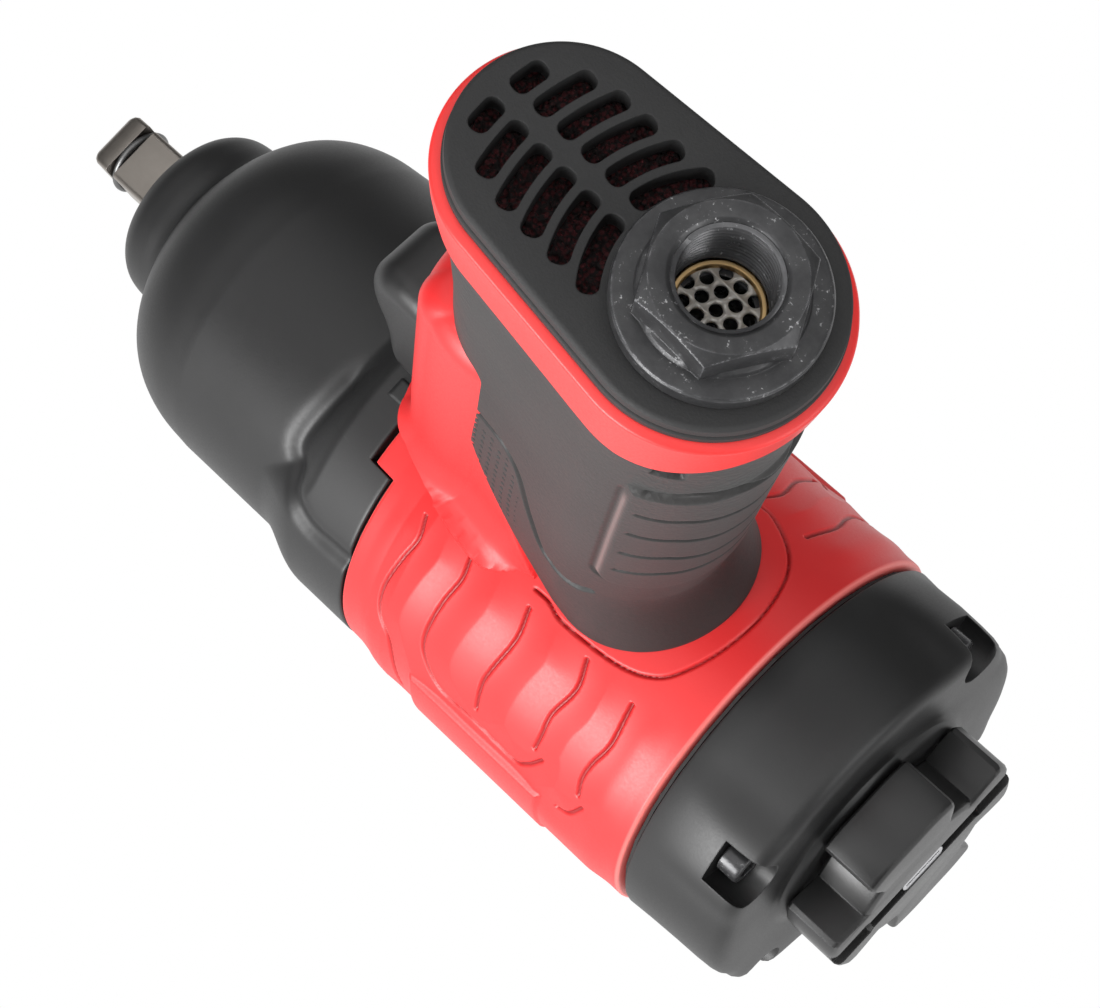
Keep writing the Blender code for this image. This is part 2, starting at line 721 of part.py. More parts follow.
def make_grip(handle):
    """A rubber sleeve round the handle, open ahead of the rubber's edge."""
    sleeve = handle_loft(8 * MM, 104 * MM)
    grip = in_handle("grip", sleeve, handle, ((0.05, 0.05, 0.052), 0.6))
    skirt = [
        (100.0, 1.3, 18.4, 28.2, 14.6),
        (108.0, 0.6, 19.2, 27.6, 14.8),
        (113.0, -1.6, 20.4, 26.6, 15.4),
        (117.0, -5.0, 21.0, 25.5, 16.0),
        (132.0, -6.0, 21.4, 25.0, 16.0),
    ]
    flare = lofted([(row[0] * MM, section_outline(row)) for row in skirt])
    combine(grip, in_handle("grip_skirt", flare, handle), "UNION")
    room = add_object("grip_barrel_room", rod(BARREL_RADIUS + 0.5 * MM, -215 * MM, -80 * MM, segments=28))
    combine(grip, room)
    inside = handle_loft(PLATE_THICKNESS + 1 * MM, 136 * MM, -GRIP_THICKNESS)
    combine(grip, in_handle("grip_inside", inside, handle))
    combine(grip, in_handle("grip_front_opening", neck_region(0.0), handle))
    reach = TRIGGER_HALF + 0.6 * MM
    trigger_room = box_between((GRIP_FRONT - 5.5 * MM, -reach, 78 * MM), (60 * MM, reach, 121 * MM))
    combine(grip, in_handle("grip_trigger_room", trigger_room, handle))
    combine(grip, in_handle("grip_band_room", band_region(GAP), handle))


# Handle end: base plate, muffler and air inlet.


def slot_outline(radius, first, last):
    """An arc-shaped slot with round ends, centred on the inlet's axis."""
    half = 1.65 * MM
    pad = half / radius
    first, last = first + pad, last - pad
    outline = arc((0, 0), radius + half, first, last, 2)
    end = (radius * math.cos(last), radius * math.sin(last))
    outline += arc(end, half, last, last + math.pi, 3)[1:-1]
    outline += arc((0, 0), radius - half, last, first, 2)
    start = (radius * math.cos(first), radius * math.sin(first))
    outline += arc(start, half, first + math.pi, first + 2 * math.pi, 3)[1:-1]
    return outline


def make_base_plate(handle):
    edge = 1.2 * MM
    sections = [(0.0, -edge), (0.35 * MM, -0.35 * edge), (edge, 0.0), (PLATE_THICKNESS, 0.0)]
    solid = lofted([(height, rounded_hull(PLATE_REAR, PLATE_FRONT, grow, 10)) for height, grow in sections])
    plate = in_handle("base_plate", solid, handle, ((0.05, 0.05, 0.05), 0.55))
    hole = rod(BUSHING_RADIUS + 0.6 * MM, -1 * MM, PLATE_THICKNESS + 1 * MM, "Z", 24)
    combine(plate, in_handle("plate_inlet_hole", hole, handle))
    rib = 1.2 * MM
    for row in range(6):
        radius = (17.7 + 4.6 * row) * MM
        reach = (12.2, 12.2, 12.2, 12.0, 10.8, 7.0)[row] * MM
        first = math.asin(rib / radius)
        last = math.asin(reach / radius)
        for side, name in ((1, "left"), (-1, "right")):
            outline = slot_outline(radius, first, last)
            if side < 0:
                outline = [(a, -b) for a, b in reversed(outline)]
            slot = lofted([(-1 * MM, outline), (PLATE_THICKNESS + 1 * MM, outline)])
            combine(plate, in_handle(f"slot_{name}_{row + 1}", slot, handle))


def make_exhaust_foam(handle):
    block = section_loft(EXHAUST_SECTIONS, PLATE_THICKNESS + GAP, 26 * MM, -0.5 * MM)
    foam = in_handle("exhaust_foam", block, handle, ((0.12, 0.015, 0.015), 0.95))
    sleeve = rod(SLEEVE_RADIUS + GAP, -5 * MM, 34 * MM, "Z", 24)
    combine(foam, in_handle("foam_sleeve_room", sleeve, handle))


def make_inlet(handle):
    steel = ((0.09, 0.09, 0.095), 0.4, 0.9)
    hexagon = polygon(HEX_APOTHEM, 6)
    bushing = in_handle("inlet_bushing", lofted([(INLET_FACE, hexagon), (-3 * MM, hexagon)]), handle, steel)
    chamfer = [
        (INLET_FACE - 1 * MM, 9.0 * MM),
        (INLET_FACE - 1 * MM, 16 * MM),
        (INLET_FACE + 2.2 * MM, 16 * MM),
        (INLET_FACE + 1.6 * MM, 12.9 * MM),
    ]
    combine(bushing, in_handle("hex_chamfer", turned(chamfer, "Z", 28), handle))
    body = [
        (-FLANGE_HEIGHT, 0.0),
        (-FLANGE_HEIGHT, FLANGE_RADIUS - 0.4 * MM),
        (-FLANGE_HEIGHT + 0.4 * MM, FLANGE_RADIUS),
        (-GAP, FLANGE_RADIUS),
        (-GAP, BUSHING_RADIUS),
        (20 * MM, BUSHING_RADIUS),
        (20 * MM, 9.3 * MM),
        (22 * MM, 9.3 * MM),
        (22 * MM, BUSHING_RADIUS),
        (BUSHING_TOP, BUSHING_RADIUS),
        (BUSHING_TOP, 0.0),
    ]
    combine(bushing, in_handle("bushing_body", turned(body, "Z", 28), handle), "UNION")
    bore = [
        (INLET_FACE - 1 * MM, 0.0),
        (INLET_FACE - 1 * MM, MOUTH_RADIUS + 1 * MM),
        (INLET_FACE, MOUTH_RADIUS),
        (INLET_FACE + 0.9 * MM, THREAD_RADIUS),
        (5 * MM, THREAD_RADIUS),
        (5 * MM, 5.5 * MM),
        (BUSHING_TOP + 1 * MM, 5.5 * MM),
        (BUSHING_TOP + 1 * MM, 0.0),
    ]
    combine(bushing, in_handle("inlet_bore", turned(bore, "Z", 28), handle))
    ring = turned(
        [
            (21 * MM + 0.6 * MM * b, 10.2 * MM + 0.6 * MM * a)
            for a, b in arc((0, 0), 1, 0, 1.6 * math.pi, 4)
        ],
        "Z",
        24,
    )
    in_handle("inlet_o_ring", ring, handle, ((0.03, 0.03, 0.03), 0.7))
    make_inlet_screen(handle)


def make_inlet_screen(handle):
    bright = ((0.7, 0.68, 0.62), 0.3, 1.0)
    disc = rod(6.9 * MM, 3.2 * MM, 4.0 * MM, "Z", 24)
    screen = in_handle("inlet_screen", disc, handle, bright)
    pitch = 2.9 * MM
    hole_radius = 1.05 * MM
    for row in range(-2, 3):
        for column in range(-2, 3):
            a = (column + 0.5 * (row % 2)) * pitch
            b = row * pitch * math.sin(math.radians(60))
            if math.hypot(a, b) > 5.4 * MM:
                continue
            hole = rod(hole_radius, 2 * MM, 5 * MM, "Z", 6)
            bmesh.ops.translate(hole, verts=hole.verts, vec=(a, b, 0))
            combine(screen, in_handle(f"screen_hole_{row}_{column}", hole, handle))
    ring = tube(5.9 * MM, 6.9 * MM, 1.9 * MM, 2.9 * MM, "Z", 24)
    in_handle("screen_ring", ring, handle, ((0.5, 0.4, 0.25), 0.35, 1.0))


# Throttle: trigger, push rod and tilting valve.


# The trigger's side view: distance ahead of the inlet's axis, then height.
TRIGGER_OUTLINE = (
    (37.2, 84.4),
    (48.2, 84.6),
    (52.5, 85.2),
    (56.4, 86.8),
    (58.6, 90.2),
    (59.0, 94.0),
    (58.0, 98.5),
    (56.2, 103.0),
    (54.9, 108.0),
    (54.4, 113.0),
    (53.8, 116.8),
    (52.0, 119.4),
    (48.6, 120.2),
    (37.2, 120.2),
)


def make_trigger(handle):
    outline = [(u * MM, h * MM) for u, h in TRIGGER_OUTLINE]
    body = lofted([(-TRIGGER_HALF, outline), (TRIGGER_HALF, outline)], "Y")
    front_edges = []
    for edge in body.edges:
        middle = (edge.verts[0].co + edge.verts[1].co) / 2
        flat = abs(edge.verts[0].co.y - edge.verts[1].co.y) < 0.1 * MM
        if flat and middle.x > 52 * MM:
            front_edges.append(edge)
    bmesh.ops.bevel(body, geom=front_edges, offset=3.0 * MM, segments=2, profile=0.5, affect="EDGES")
    trigger = in_handle("trigger", body, handle, ((0.045, 0.045, 0.047), 0.5))
    bore = rod(1.8 * MM, 36 * MM, 49 * MM, "X", 16)
    bmesh.ops.translate(bore, verts=bore.verts, vec=(0, 0, ROD_HEIGHT))
    combine(trigger, in_handle("trigger_rod_bore", bore, handle))
    pin = rod(1.5 * MM, 3.8 * MM, 48.6 * MM, "X", 16)
    bmesh.ops.translate(pin, verts=pin.verts, vec=(0, 0, ROD_HEIGHT))
    in_handle("trigger_rod", pin, handle, ((0.6, 0.6, 0.62), 0.3, 1.0))
    guide = tube(1.8 * MM, 3.6 * MM, 9.0 * MM, POCKET_FLOOR - 0.4 * MM, "X", 20)
    bmesh.ops.translate(guide, verts=guide.verts, vec=(0, 0, ROD_HEIGHT))
    in_handle("rod_bushing", guide, handle, ((0.6, 0.45, 0.2), 0.35, 1.0))


def make_throttle_valve(handle):
    """A tilting valve: a disc held up against its seat by a spring, with a stem above it."""
    seat = tube(4.5 * MM, 7.7 * MM, SEAT_HEIGHT, SEAT_HEIGHT + 2.5 * MM, "Z", 28)
    in_handle("valve_seat", seat, handle, ((0.6, 0.45, 0.2), 0.35, 1.0))
    pivot = Vector((6.5 * MM, 0, SEAT_HEIGHT - GAP))
    profile = [
        (SEAT_HEIGHT - 2.6 * MM, 0.0),
        (SEAT_HEIGHT - 2.6 * MM, 5.8 * MM),
        (SEAT_HEIGHT - 1.8 * MM, 6.5 * MM),
        (SEAT_HEIGHT - GAP, 6.5 * MM),
        (SEAT_HEIGHT - GAP, 2.2 * MM),
        (SEAT_HEIGHT + 1.0 * MM, 1.4 * MM),
        (ROD_HEIGHT + 3 * MM, 1.4 * MM),
        (ROD_HEIGHT + 3 * MM, 0.0),
    ]
    disc = turned(profile, "Z", 24)
    bmesh.ops.translate(disc, verts=disc.verts, vec=-pivot)
    valve = in_handle("throttle_valve", disc, handle, ((0.55, 0.55, 0.57), 0.35, 1.0))
    valve.location = pivot
    make_valve_spring(handle)


def make_valve_spring(handle):
    """A compression spring swept along a helix round the inlet's axis."""
    low, high = CHAMBER_FLOOR + 0.9 * MM, SEAT_HEIGHT - 3.6 * MM
    turns, steps_per_turn, sides = 4, 10, 5
    wire, radius = 0.45 * MM, 4.9 * MM
    total = int(turns * steps_per_turn)
    mesh_data = bmesh.new()
    rings = []
    for i in range(total + 1):
        angle = 2 * math.pi * i / steps_per_turn
        height = low + (high - low) * i / total
        ring = []
        for a, b in arc((0, 0), wire, 0, 2 * math.pi * (sides - 1) / sides, sides - 1):
            ring.append(
                mesh_data.verts.new(
                    ((radius + a) * math.cos(angle), (radius + a) * math.sin(angle), height + b),
                )
            )
        rings.append(ring)
    for lower, upper in zip(rings, rings[1:]):
        for i in range(sides):
            j = (i + 1) % sides
            mesh_data.faces.new((lower[i], lower[j], upper[j], upper[i]))
    mesh_data.faces.new(rings[0])
    mesh_data.faces.new(rings[-1])
    in_handle("valve_spring", mesh_data, handle, ((0.7, 0.7, 0.72), 0.25, 1.0))


# Rear end: cap, bolts and the power regulator.


def make_rear_cap():
    front = CAP_SEAM + 1.2 * MM
    profile = [
        (-front, 33.2 * MM),
        (-front, CAP_RADIUS),
        (-200.0 * MM, 39.4 * MM),
        (-204.5 * MM, 38.9 * MM),
        (-207.4 * MM, 37.6 * MM),
        (-208.7 * MM, 35.4 * MM),
        (-CAP_REAR + 1.0 * MM, 23.6 * MM),
        (-CAP_REAR - 0.6 * MM, 22.8 * MM),
        (-CAP_REAR - 0.6 * MM, 7.6 * MM),
        (-203.0 * MM, 7.6 * MM),
        (-203.0 * MM, 30.5 * MM),
        (-200.0 * MM, 33.2 * MM),
    ]
    cap = add_object("rear_cap", turned(profile, segments=32), ((0.045, 0.045, 0.047), 0.45))
    for i, angle in enumerate(BOLT_ANGLES, 1):
        centre = spindle_point(BOLT_CIRCLE + 1.6 * MM, angle)
        post = add_object(
            f"cap_post_{i}",
            rod(6.6 * MM, -204 * MM, -front, segments=16),
            location=(0, *spindle_point(31.6 * MM, angle)),
        )
        combine(cap, post, "UNION")
        pocket = add_object(
            f"cap_pocket_{i}",
            rod(6.4 * MM, -216 * MM, -BOLT_SEAT, segments=16),
            location=(0, *centre),
        )
        combine(cap, pocket)
        hole = add_object(f"cap_bolt_hole_{i}", rod(BOLT_RADIUS + GAP, -212 * MM, -180 * MM, segments=12))
        hole.location = (0, *spindle_point(BOLT_CIRCLE, angle))
        combine(cap, hole)


def make_case_bolts():
    """Socket-head bolts that clamp the cap, the housing and the case together."""
    look = ((0.08, 0.08, 0.085), 0.35, 1.0)
    for i, angle in enumerate(BOLT_ANGLES, 1):
        profile = [
            (-BOLT_TIP - 0.6 * MM, 0.0),
            (-BOLT_TIP - 0.6 * MM, BOLT_RADIUS),
            (-BOLT_SEAT - GAP, BOLT_RADIUS),
            (-BOLT_SEAT - GAP, BOLT_HEAD_RADIUS),
            (-BOLT_SEAT - 4.3 * MM, BOLT_HEAD_RADIUS),
            (-BOLT_SEAT - 4.3 * MM, 0.0),
        ]
        bolt = add_object(f"case_bolt_{i}", turned(profile, segments=18), look)
        bolt.location = (0, *spindle_point(BOLT_CIRCLE, angle))
        socket = polygon(1.6 * MM, 6)
        key = add_object(
            f"bolt_socket_{i}",
            lofted([(-BOLT_SEAT - 6 * MM, socket), (-BOLT_SEAT - 2 * MM, socket)], "X"),
        )
        key.location = bolt.location
        combine(bolt, key)


def knob_outline():
    """Four lobes round a hub, each 60 degrees wide, with 30 degree notches between."""
    outline = []
    for i in range(4):
        middle = KNOB_TURN + i * math.pi / 2
        for a, b in arc((0, 0), KNOB_RADIUS, middle - math.radians(28), middle + math.radians(28), 5):
            outline.append((a, b))
        for a, b in arc((0, 0), KNOB_ROOT, middle + math.radians(35), middle + math.radians(55), 2):
            outline.append((a, b))
    return [(b, -a) for a, b in outline]


def make_regulator():
    look = ((0.04, 0.04, 0.042), 0.45)
    steel = ((0.5, 0.5, 0.52), 0.3, 1.0)
    front = CAP_REAR + 1.6 * MM
    outline = knob_outline()
    shrunk = [(a * 0.96, b * 0.96) for a, b in outline]
    sections = [(-KNOB_REAR, shrunk), (-KNOB_REAR + 1.0 * MM, outline), (-front, outline)]
    knob = add_object("regulator_knob", lofted(sections, "X"), look)
    bore = [
        (-front + 1 * MM, 0.0),
        (-front + 1 * MM, 7.3 * MM),
        (-214.4 * MM, 7.3 * MM),
        (-214.4 * MM, 2.4 * MM),
        (-218.6 * MM, 2.4 * MM),
        (-218.6 * MM, 5.6 * MM),
        (-KNOB_REAR - 1 * MM, 5.6 * MM),
        (-KNOB_REAR - 1 * MM, 0.0),
    ]
    combine(knob, add_object("knob_bore", turned(bore, segments=16)))
    spool = [
        (-187.0, 4.0),
        (-187.0, 18.0),
        (-190.0, 18.0),
        (-190.0, 7.0),
        (-205.2, 7.0),
        (-205.2, 5.9),
        (-207.2, 5.9),
        (-207.2, 7.0),
        (-214.1, 7.0),
        (-214.1, 2.3),
        (-200.0, 2.3),
        (-200.0, 4.0),
    ]
    add_object("regulator_spool", turned([(x * MM, r * MM) for x, r in spool], segments=16), steel)
    ring = [
        (-206.2 * MM + 0.5 * MM * b, 6.75 * MM + 0.5 * MM * a)
        for a, b in arc((0, 0), 1, 0, 1.6 * math.pi, 4)
    ]
    add_object("spool_o_ring", turned(ring, segments=16), ((0.03, 0.03, 0.03), 0.7))
    screw = [
        (-203.0, 0.0),
        (-203.0, 2.0),
        (-218.9, 2.0),
        (-218.9, 5.2),
        (-222.0, 5.2),
        (-222.0, 0.0),
    ]
    knob_screw = add_object("knob_screw", turned([(x * MM, r * MM) for x, r in screw], segments=20), steel)
    slot = box_between((-224 * MM, -4.3 * MM, -0.6 * MM), (-220.6 * MM, 4.3 * MM, 0.6 * MM))
    combine(knob_screw, add_object("knob_screw_slot", slot, turn=(KNOB_TURN, 0, 0)))


def make_handle_frame():
    handle = bpy.data.objects.new("handle_frame", None)
    bpy.context.scene.collection.objects.link(handle)
    handle.location = HANDLE_FOOT
    handle.rotation_euler = (0, HANDLE_LEAN, 0)
    return handle


def main():
    for obj in list(bpy.data.objects):
        bpy.data.objects.remove(obj)
    handle = make_handle_frame()
    make_anvil()
    make_socket_ring()
    make_hammer_case()
    make_nose_parts()
    make_hammer_cage()
    make_hammer("hammer_front", HAMMER_FRONT, 1)
    make_hammer("hammer_rear", HAMMER_FRONT + HAMMER_LENGTH + 1 * MM, -1)
    make_motor_plates()
    make_bearings()
    make_rotor()
    make_vanes()
    make_gaskets()
    make_motor_housing(handle)
    make_grip(handle)
    make_base_plate(handle)
    make_exhaust_foam(handle)
    make_inlet(handle)
    make_trigger(handle)
    make_throttle_valve(handle)
    make_rear_cap()
    make_case_bolts()
    make_regulator()


main()
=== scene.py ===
"""Looks of the pistol-grip pneumatic impact wrench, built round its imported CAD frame.

Lengths in this script are millimetres in the part's frame until a mesh is made. "phi" is the angle
round the spindle from straight down, and (u, v, h) are the handle's own forward, left and up.
"""

import json
import math

import bmesh
import bpy
import numpy as np
from mathutils import Matrix, Vector


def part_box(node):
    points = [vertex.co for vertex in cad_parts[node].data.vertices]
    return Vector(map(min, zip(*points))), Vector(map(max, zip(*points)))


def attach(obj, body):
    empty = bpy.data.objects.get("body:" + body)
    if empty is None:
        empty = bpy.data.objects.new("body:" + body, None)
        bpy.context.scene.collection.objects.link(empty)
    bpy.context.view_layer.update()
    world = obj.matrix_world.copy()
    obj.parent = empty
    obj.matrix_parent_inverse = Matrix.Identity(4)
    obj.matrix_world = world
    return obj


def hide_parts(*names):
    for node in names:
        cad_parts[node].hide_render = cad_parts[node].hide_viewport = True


MM = 0.001
LEAN = math.radians(12.5)
FOOT = (-176.6, -153.8)
CASE_SEAM = 110.8
CAP_SEAM = 185.4
BARREL = 40.5
TONGUE_FRONT = 106.4
TONGUE_HALF = 31.6
CASE_RADIUS = 35.7
# The radius at which the grip's skirt lands on the barrel.
SKIRT_RADIUS = 41.3
BOLT_ANGLES = (48, 132, 228, 312)
BOLT_CIRCLE = 36.2
DRIVE_TURN = math.radians(-11.0)
KNOB_TURN = -10
KNOB_RADIUS = 24.0
# Points on the front arc, on each side and on the rear arc of a handle outline.
FINE_COUNTS = (90, 150, 200)

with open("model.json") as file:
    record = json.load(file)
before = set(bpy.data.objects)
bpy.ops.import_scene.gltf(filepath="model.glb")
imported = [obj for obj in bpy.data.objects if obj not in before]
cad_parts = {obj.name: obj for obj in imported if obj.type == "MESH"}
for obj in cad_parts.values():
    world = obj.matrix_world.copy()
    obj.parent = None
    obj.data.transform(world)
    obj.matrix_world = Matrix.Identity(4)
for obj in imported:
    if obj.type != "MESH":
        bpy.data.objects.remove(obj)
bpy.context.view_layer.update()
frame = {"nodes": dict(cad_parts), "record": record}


# Shapes as arrays.


def smooth(low, high, value):
    """0 below low, 1 above high and an even curve between."""
    t = np.clip((np.asarray(value, float) - low) / (high - low), 0, 1)
    return t * t * (3 - 2 * t)


def read(table, value):
    """A table of (position, value) read at these positions."""
    rows = sorted(table)
    return np.interp(value, [row[0] for row in rows], [row[1] for row in rows])


def curve(points, per=6):
    """A smooth line through these points."""
    points = np.asarray(points, float)
    padded = np.vstack([2 * points[0] - points[1], points, 2 * points[-1] - points[-2]])
    found = []
    for a, b, c, d in zip(padded, padded[1:], padded[2:], padded[3:]):
        for t in np.arange(per) / per:
            cubic = -a + 3 * b - 3 * c + d
            found.append(0.5 * (2 * b + (c - a) * t + (2 * a - 5 * b + 4 * c - d) * t**2 + cubic * t**3))
    return np.vstack([found, points[-1:]])


def distance(x, y, line):
    """How far each (x, y) is from a line of points."""
    best = np.full(np.shape(x), 1e9)
    for (ax, ay), (bx, by) in zip(line, line[1:]):
        ux, uy = bx - ax, by - ay
        t = np.clip(((x - ax) * ux + (y - ay) * uy) / max(ux * ux + uy * uy, 1e-9), 0, 1)
        best = np.minimum(best, np.hypot(x - ax - t * ux, y - ay - t * uy))
    return best


def ripple(x, y, cell, seed):
    """Soft value noise of this cell size, from -1 to 1."""
    table = np.random.default_rng(seed).random((64, 64))
    gx, gy = x / cell, y / cell
    ix, iy = np.floor(gx).astype(int), np.floor(gy).astype(int)
    fx, fy = smooth(0, 1, gx - ix), smooth(0, 1, gy - iy)
    low, high = [
        table[ix % 64, (iy + j) % 64] * (1 - fx) + table[(ix + 1) % 64, (iy + j) % 64] * fx
        for j in (0, 1)
    ]
    return 2 * (low * (1 - fy) + high * fy) - 1


def spindle(x, phi, radius):
    """Points round the spindle from arrays of x, phi in degrees and radius."""
    angle = np.radians(phi)
    return np.stack([x + 0 * angle, radius * np.sin(angle), -radius * np.cos(angle)], -1)


def from_handle(u, v, h):
    """Points in the part's frame from the handle's own."""
    x = FOOT[0] + u * math.cos(LEAN) + h * math.sin(LEAN)
    z = FOOT[1] - u * math.sin(LEAN) + h * math.cos(LEAN)
    return np.stack([x, v + 0 * x, z], -1)


def hull(tables, counts=(60, 60, 90)):
    """Outline round a rear and a front circle: u, v, its normal, and distance from the rear-most point.

    tables holds rear, rear radius, front and front radius, each a number or an array that has a
    row for each height, and either one column or a column for each point of the outline.
    """
    rear, rear_radius, front, front_radius = tables
    lean = np.arccos((rear_radius - front_radius) / (front - rear))
    length = np.sqrt((front - rear) ** 2 - (rear_radius - front_radius) ** 2)
    n_front, n_side, n_rear = counts
    sizes = (n_front, n_side, n_rear, n_side)
    part = np.repeat(np.arange(4), sizes)
    starts = (-1, 0, 0, 0)
    share = np.concatenate([np.linspace(a, 1, n, endpoint=False) for a, n in zip(starts, sizes)])
    sections = [part == 0, part == 1, part == 2]
    angle = np.select(sections, [share * lean, lean, lean + (2 * math.pi - 2 * lean) * share], -lean)
    to_front = np.select(sections, [1.0, 1 - share, 0.0], share)
    centre = rear + (front - rear) * to_front
    radius = rear_radius + (front_radius - rear_radius) * to_front
    base = rear_radius * (math.pi - lean)
    sign = np.where(share >= 0, 1, -1)
    on_front = sign * (base + length + front_radius * (lean - np.abs(share * lean)))
    on_side = base + length * (1 - share)
    d = np.select(sections, [on_front, on_side, rear_radius * (math.pi - angle)], -(base + length * share))
    return centre + radius * np.cos(angle), radius * np.sin(angle), np.cos(angle), np.sin(angle), d


def circle(radius, count, centre=(0.0, 0.0)):
    """Points round a circle."""
    angle = np.linspace(0, 2 * math.pi, count, endpoint=False)
    return np.stack([centre[0] + radius * np.cos(angle), centre[1] + radius * np.sin(angle)], -1)


# Meshes.


def mesh_object(name, points, faces, marks=None, smooth_angle=35):
    """An object from points in millimetres, with optional per-point numbers for its material."""
    mesh = bpy.data.meshes.new(name)
    mesh.from_pydata((np.asarray(points) * MM).tolist(), [], faces)
    mesh.validate()
    mesh.update()
    for key, values in (marks or {}).items():
        layer = mesh.attributes.new(key, "FLOAT", "POINT")
        layer.data.foreach_set("value", np.asarray(values, np.float32).ravel())
    mesh.shade_smooth()
    if smooth_angle:
        mesh.set_sharp_from_angle(angle=math.radians(smooth_angle))
    obj = bpy.data.objects.new(name, mesh)
    bpy.context.scene.collection.objects.link(obj)
    return obj


def grid_faces(rows, columns, wrap):
    """Four-sided faces over a grid of points."""
    across = np.arange(columns if wrap else columns - 1)
    nxt = (across + 1) % columns
    down = np.arange(rows - 1)[:, None] * columns
    quads = np.stack([down + across, down + nxt, down + columns + nxt, down + columns + across], -1)
    return quads.reshape(-1, 4)


def grid(name, points, wrap=True, flip=False, ends=False, marks=None, smooth_angle=50):
    """An object from a (rows, columns, 3) array, closed round its columns when wrap is set."""
    rows, columns = points.shape[:2]
    faces = grid_faces(rows, columns, wrap)
    faces = faces[:, ::-1].tolist() if flip else faces.tolist()
    if ends:
        first = list(range(columns))
        last = list(range((rows - 1) * columns, rows * columns))
        faces += [first, last[::-1]] if flip else [first[::-1], last]
    return mesh_object(name, points.reshape(-1, 3), faces, marks, smooth_angle)


def lathe(name, profile, axis="X", steps=128, smooth_angle=35, place=None):
    """A turned shape from (position, radius) rows. A radius of 0 closes an end."""
    rows = np.asarray(profile, float)
    angle = np.arange(steps) / steps * 2 * math.pi
    radius = np.maximum(rows[:, 1:2], 1e-3)
    along = rows[:, 0:1] + 0 * angle
    if axis == "X":
        points = np.stack([along, radius * np.sin(angle), -radius * np.cos(angle)], -1)
    else:
        points = np.stack([radius * np.cos(angle), radius * np.sin(angle), along], -1)
    if place is not None:
        points = place(points)
    return grid(name, points, smooth_angle=smooth_angle)


def outward(obj):
    """Turns the faces of a closed shape outwards."""
    work = bmesh.new()
    work.from_mesh(obj.data)
    bmesh.ops.recalc_face_normals(work, faces=work.faces)
    work.to_mesh(obj.data)
    work.free()
    return obj


def sharpen(obj, angle):
    """Smooth shading that stays crisp past this angle between faces."""
    obj.data.shade_smooth()
    obj.data.set_sharp_from_angle(angle=math.radians(angle))


def cut(target, tool, operation="DIFFERENCE"):
    """Applies one Boolean and removes the tool."""
    outward(tool)
    modifier = target.modifiers.new("cut", "BOOLEAN")
    modifier.object = tool
    modifier.operation = operation
    modifier.solver = "EXACT"
    applied = bpy.data.meshes.new_from_object(target.evaluated_get(bpy.context.evaluated_depsgraph_get()))
    target.modifiers.clear()
    target.data = applied
    bpy.data.objects.remove(tool)
    return target


def prism(name, outline, low, high, axis="Z", place=None):
    """A straight solid from an outline of (a, b) between two positions."""
    outline = np.asarray(outline, float)
    rows = []
    for position in (low, high):
        a, b = outline[:, 0], outline[:, 1]
        c = np.full(len(outline), float(position))
        rows.append(np.stack((c, a, b) if axis == "X" else (a, b, c), -1))
    points = np.array(rows)
    if place is not None:
        points = place(points)
    return outward(grid(name, points, ends=True, smooth_angle=30))


def in_handle(points):
    """Points in the part's frame from an array of (u, v, h)."""
    return from_handle(points[..., 0], points[..., 1], points[..., 2])


def turned(a, b, angle):
    """Two coordinates turned about the spindle."""
    return a * math.cos(angle) - b * math.sin(angle), a * math.sin(angle) + b * math.cos(angle)


def give(obj, body, slot, *nodes, look=None):
    """Hangs a finished piece on its body, with its slot's look or another one."""
    obj.data.materials.clear()
    obj.data.materials.append(LOOKS[look or slot])
    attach(obj, body)
    if nodes:
        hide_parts(*nodes)
    return obj


# Materials.


RANGE_SOCKETS = ("From Min", "From Max", "To Min", "To Max")


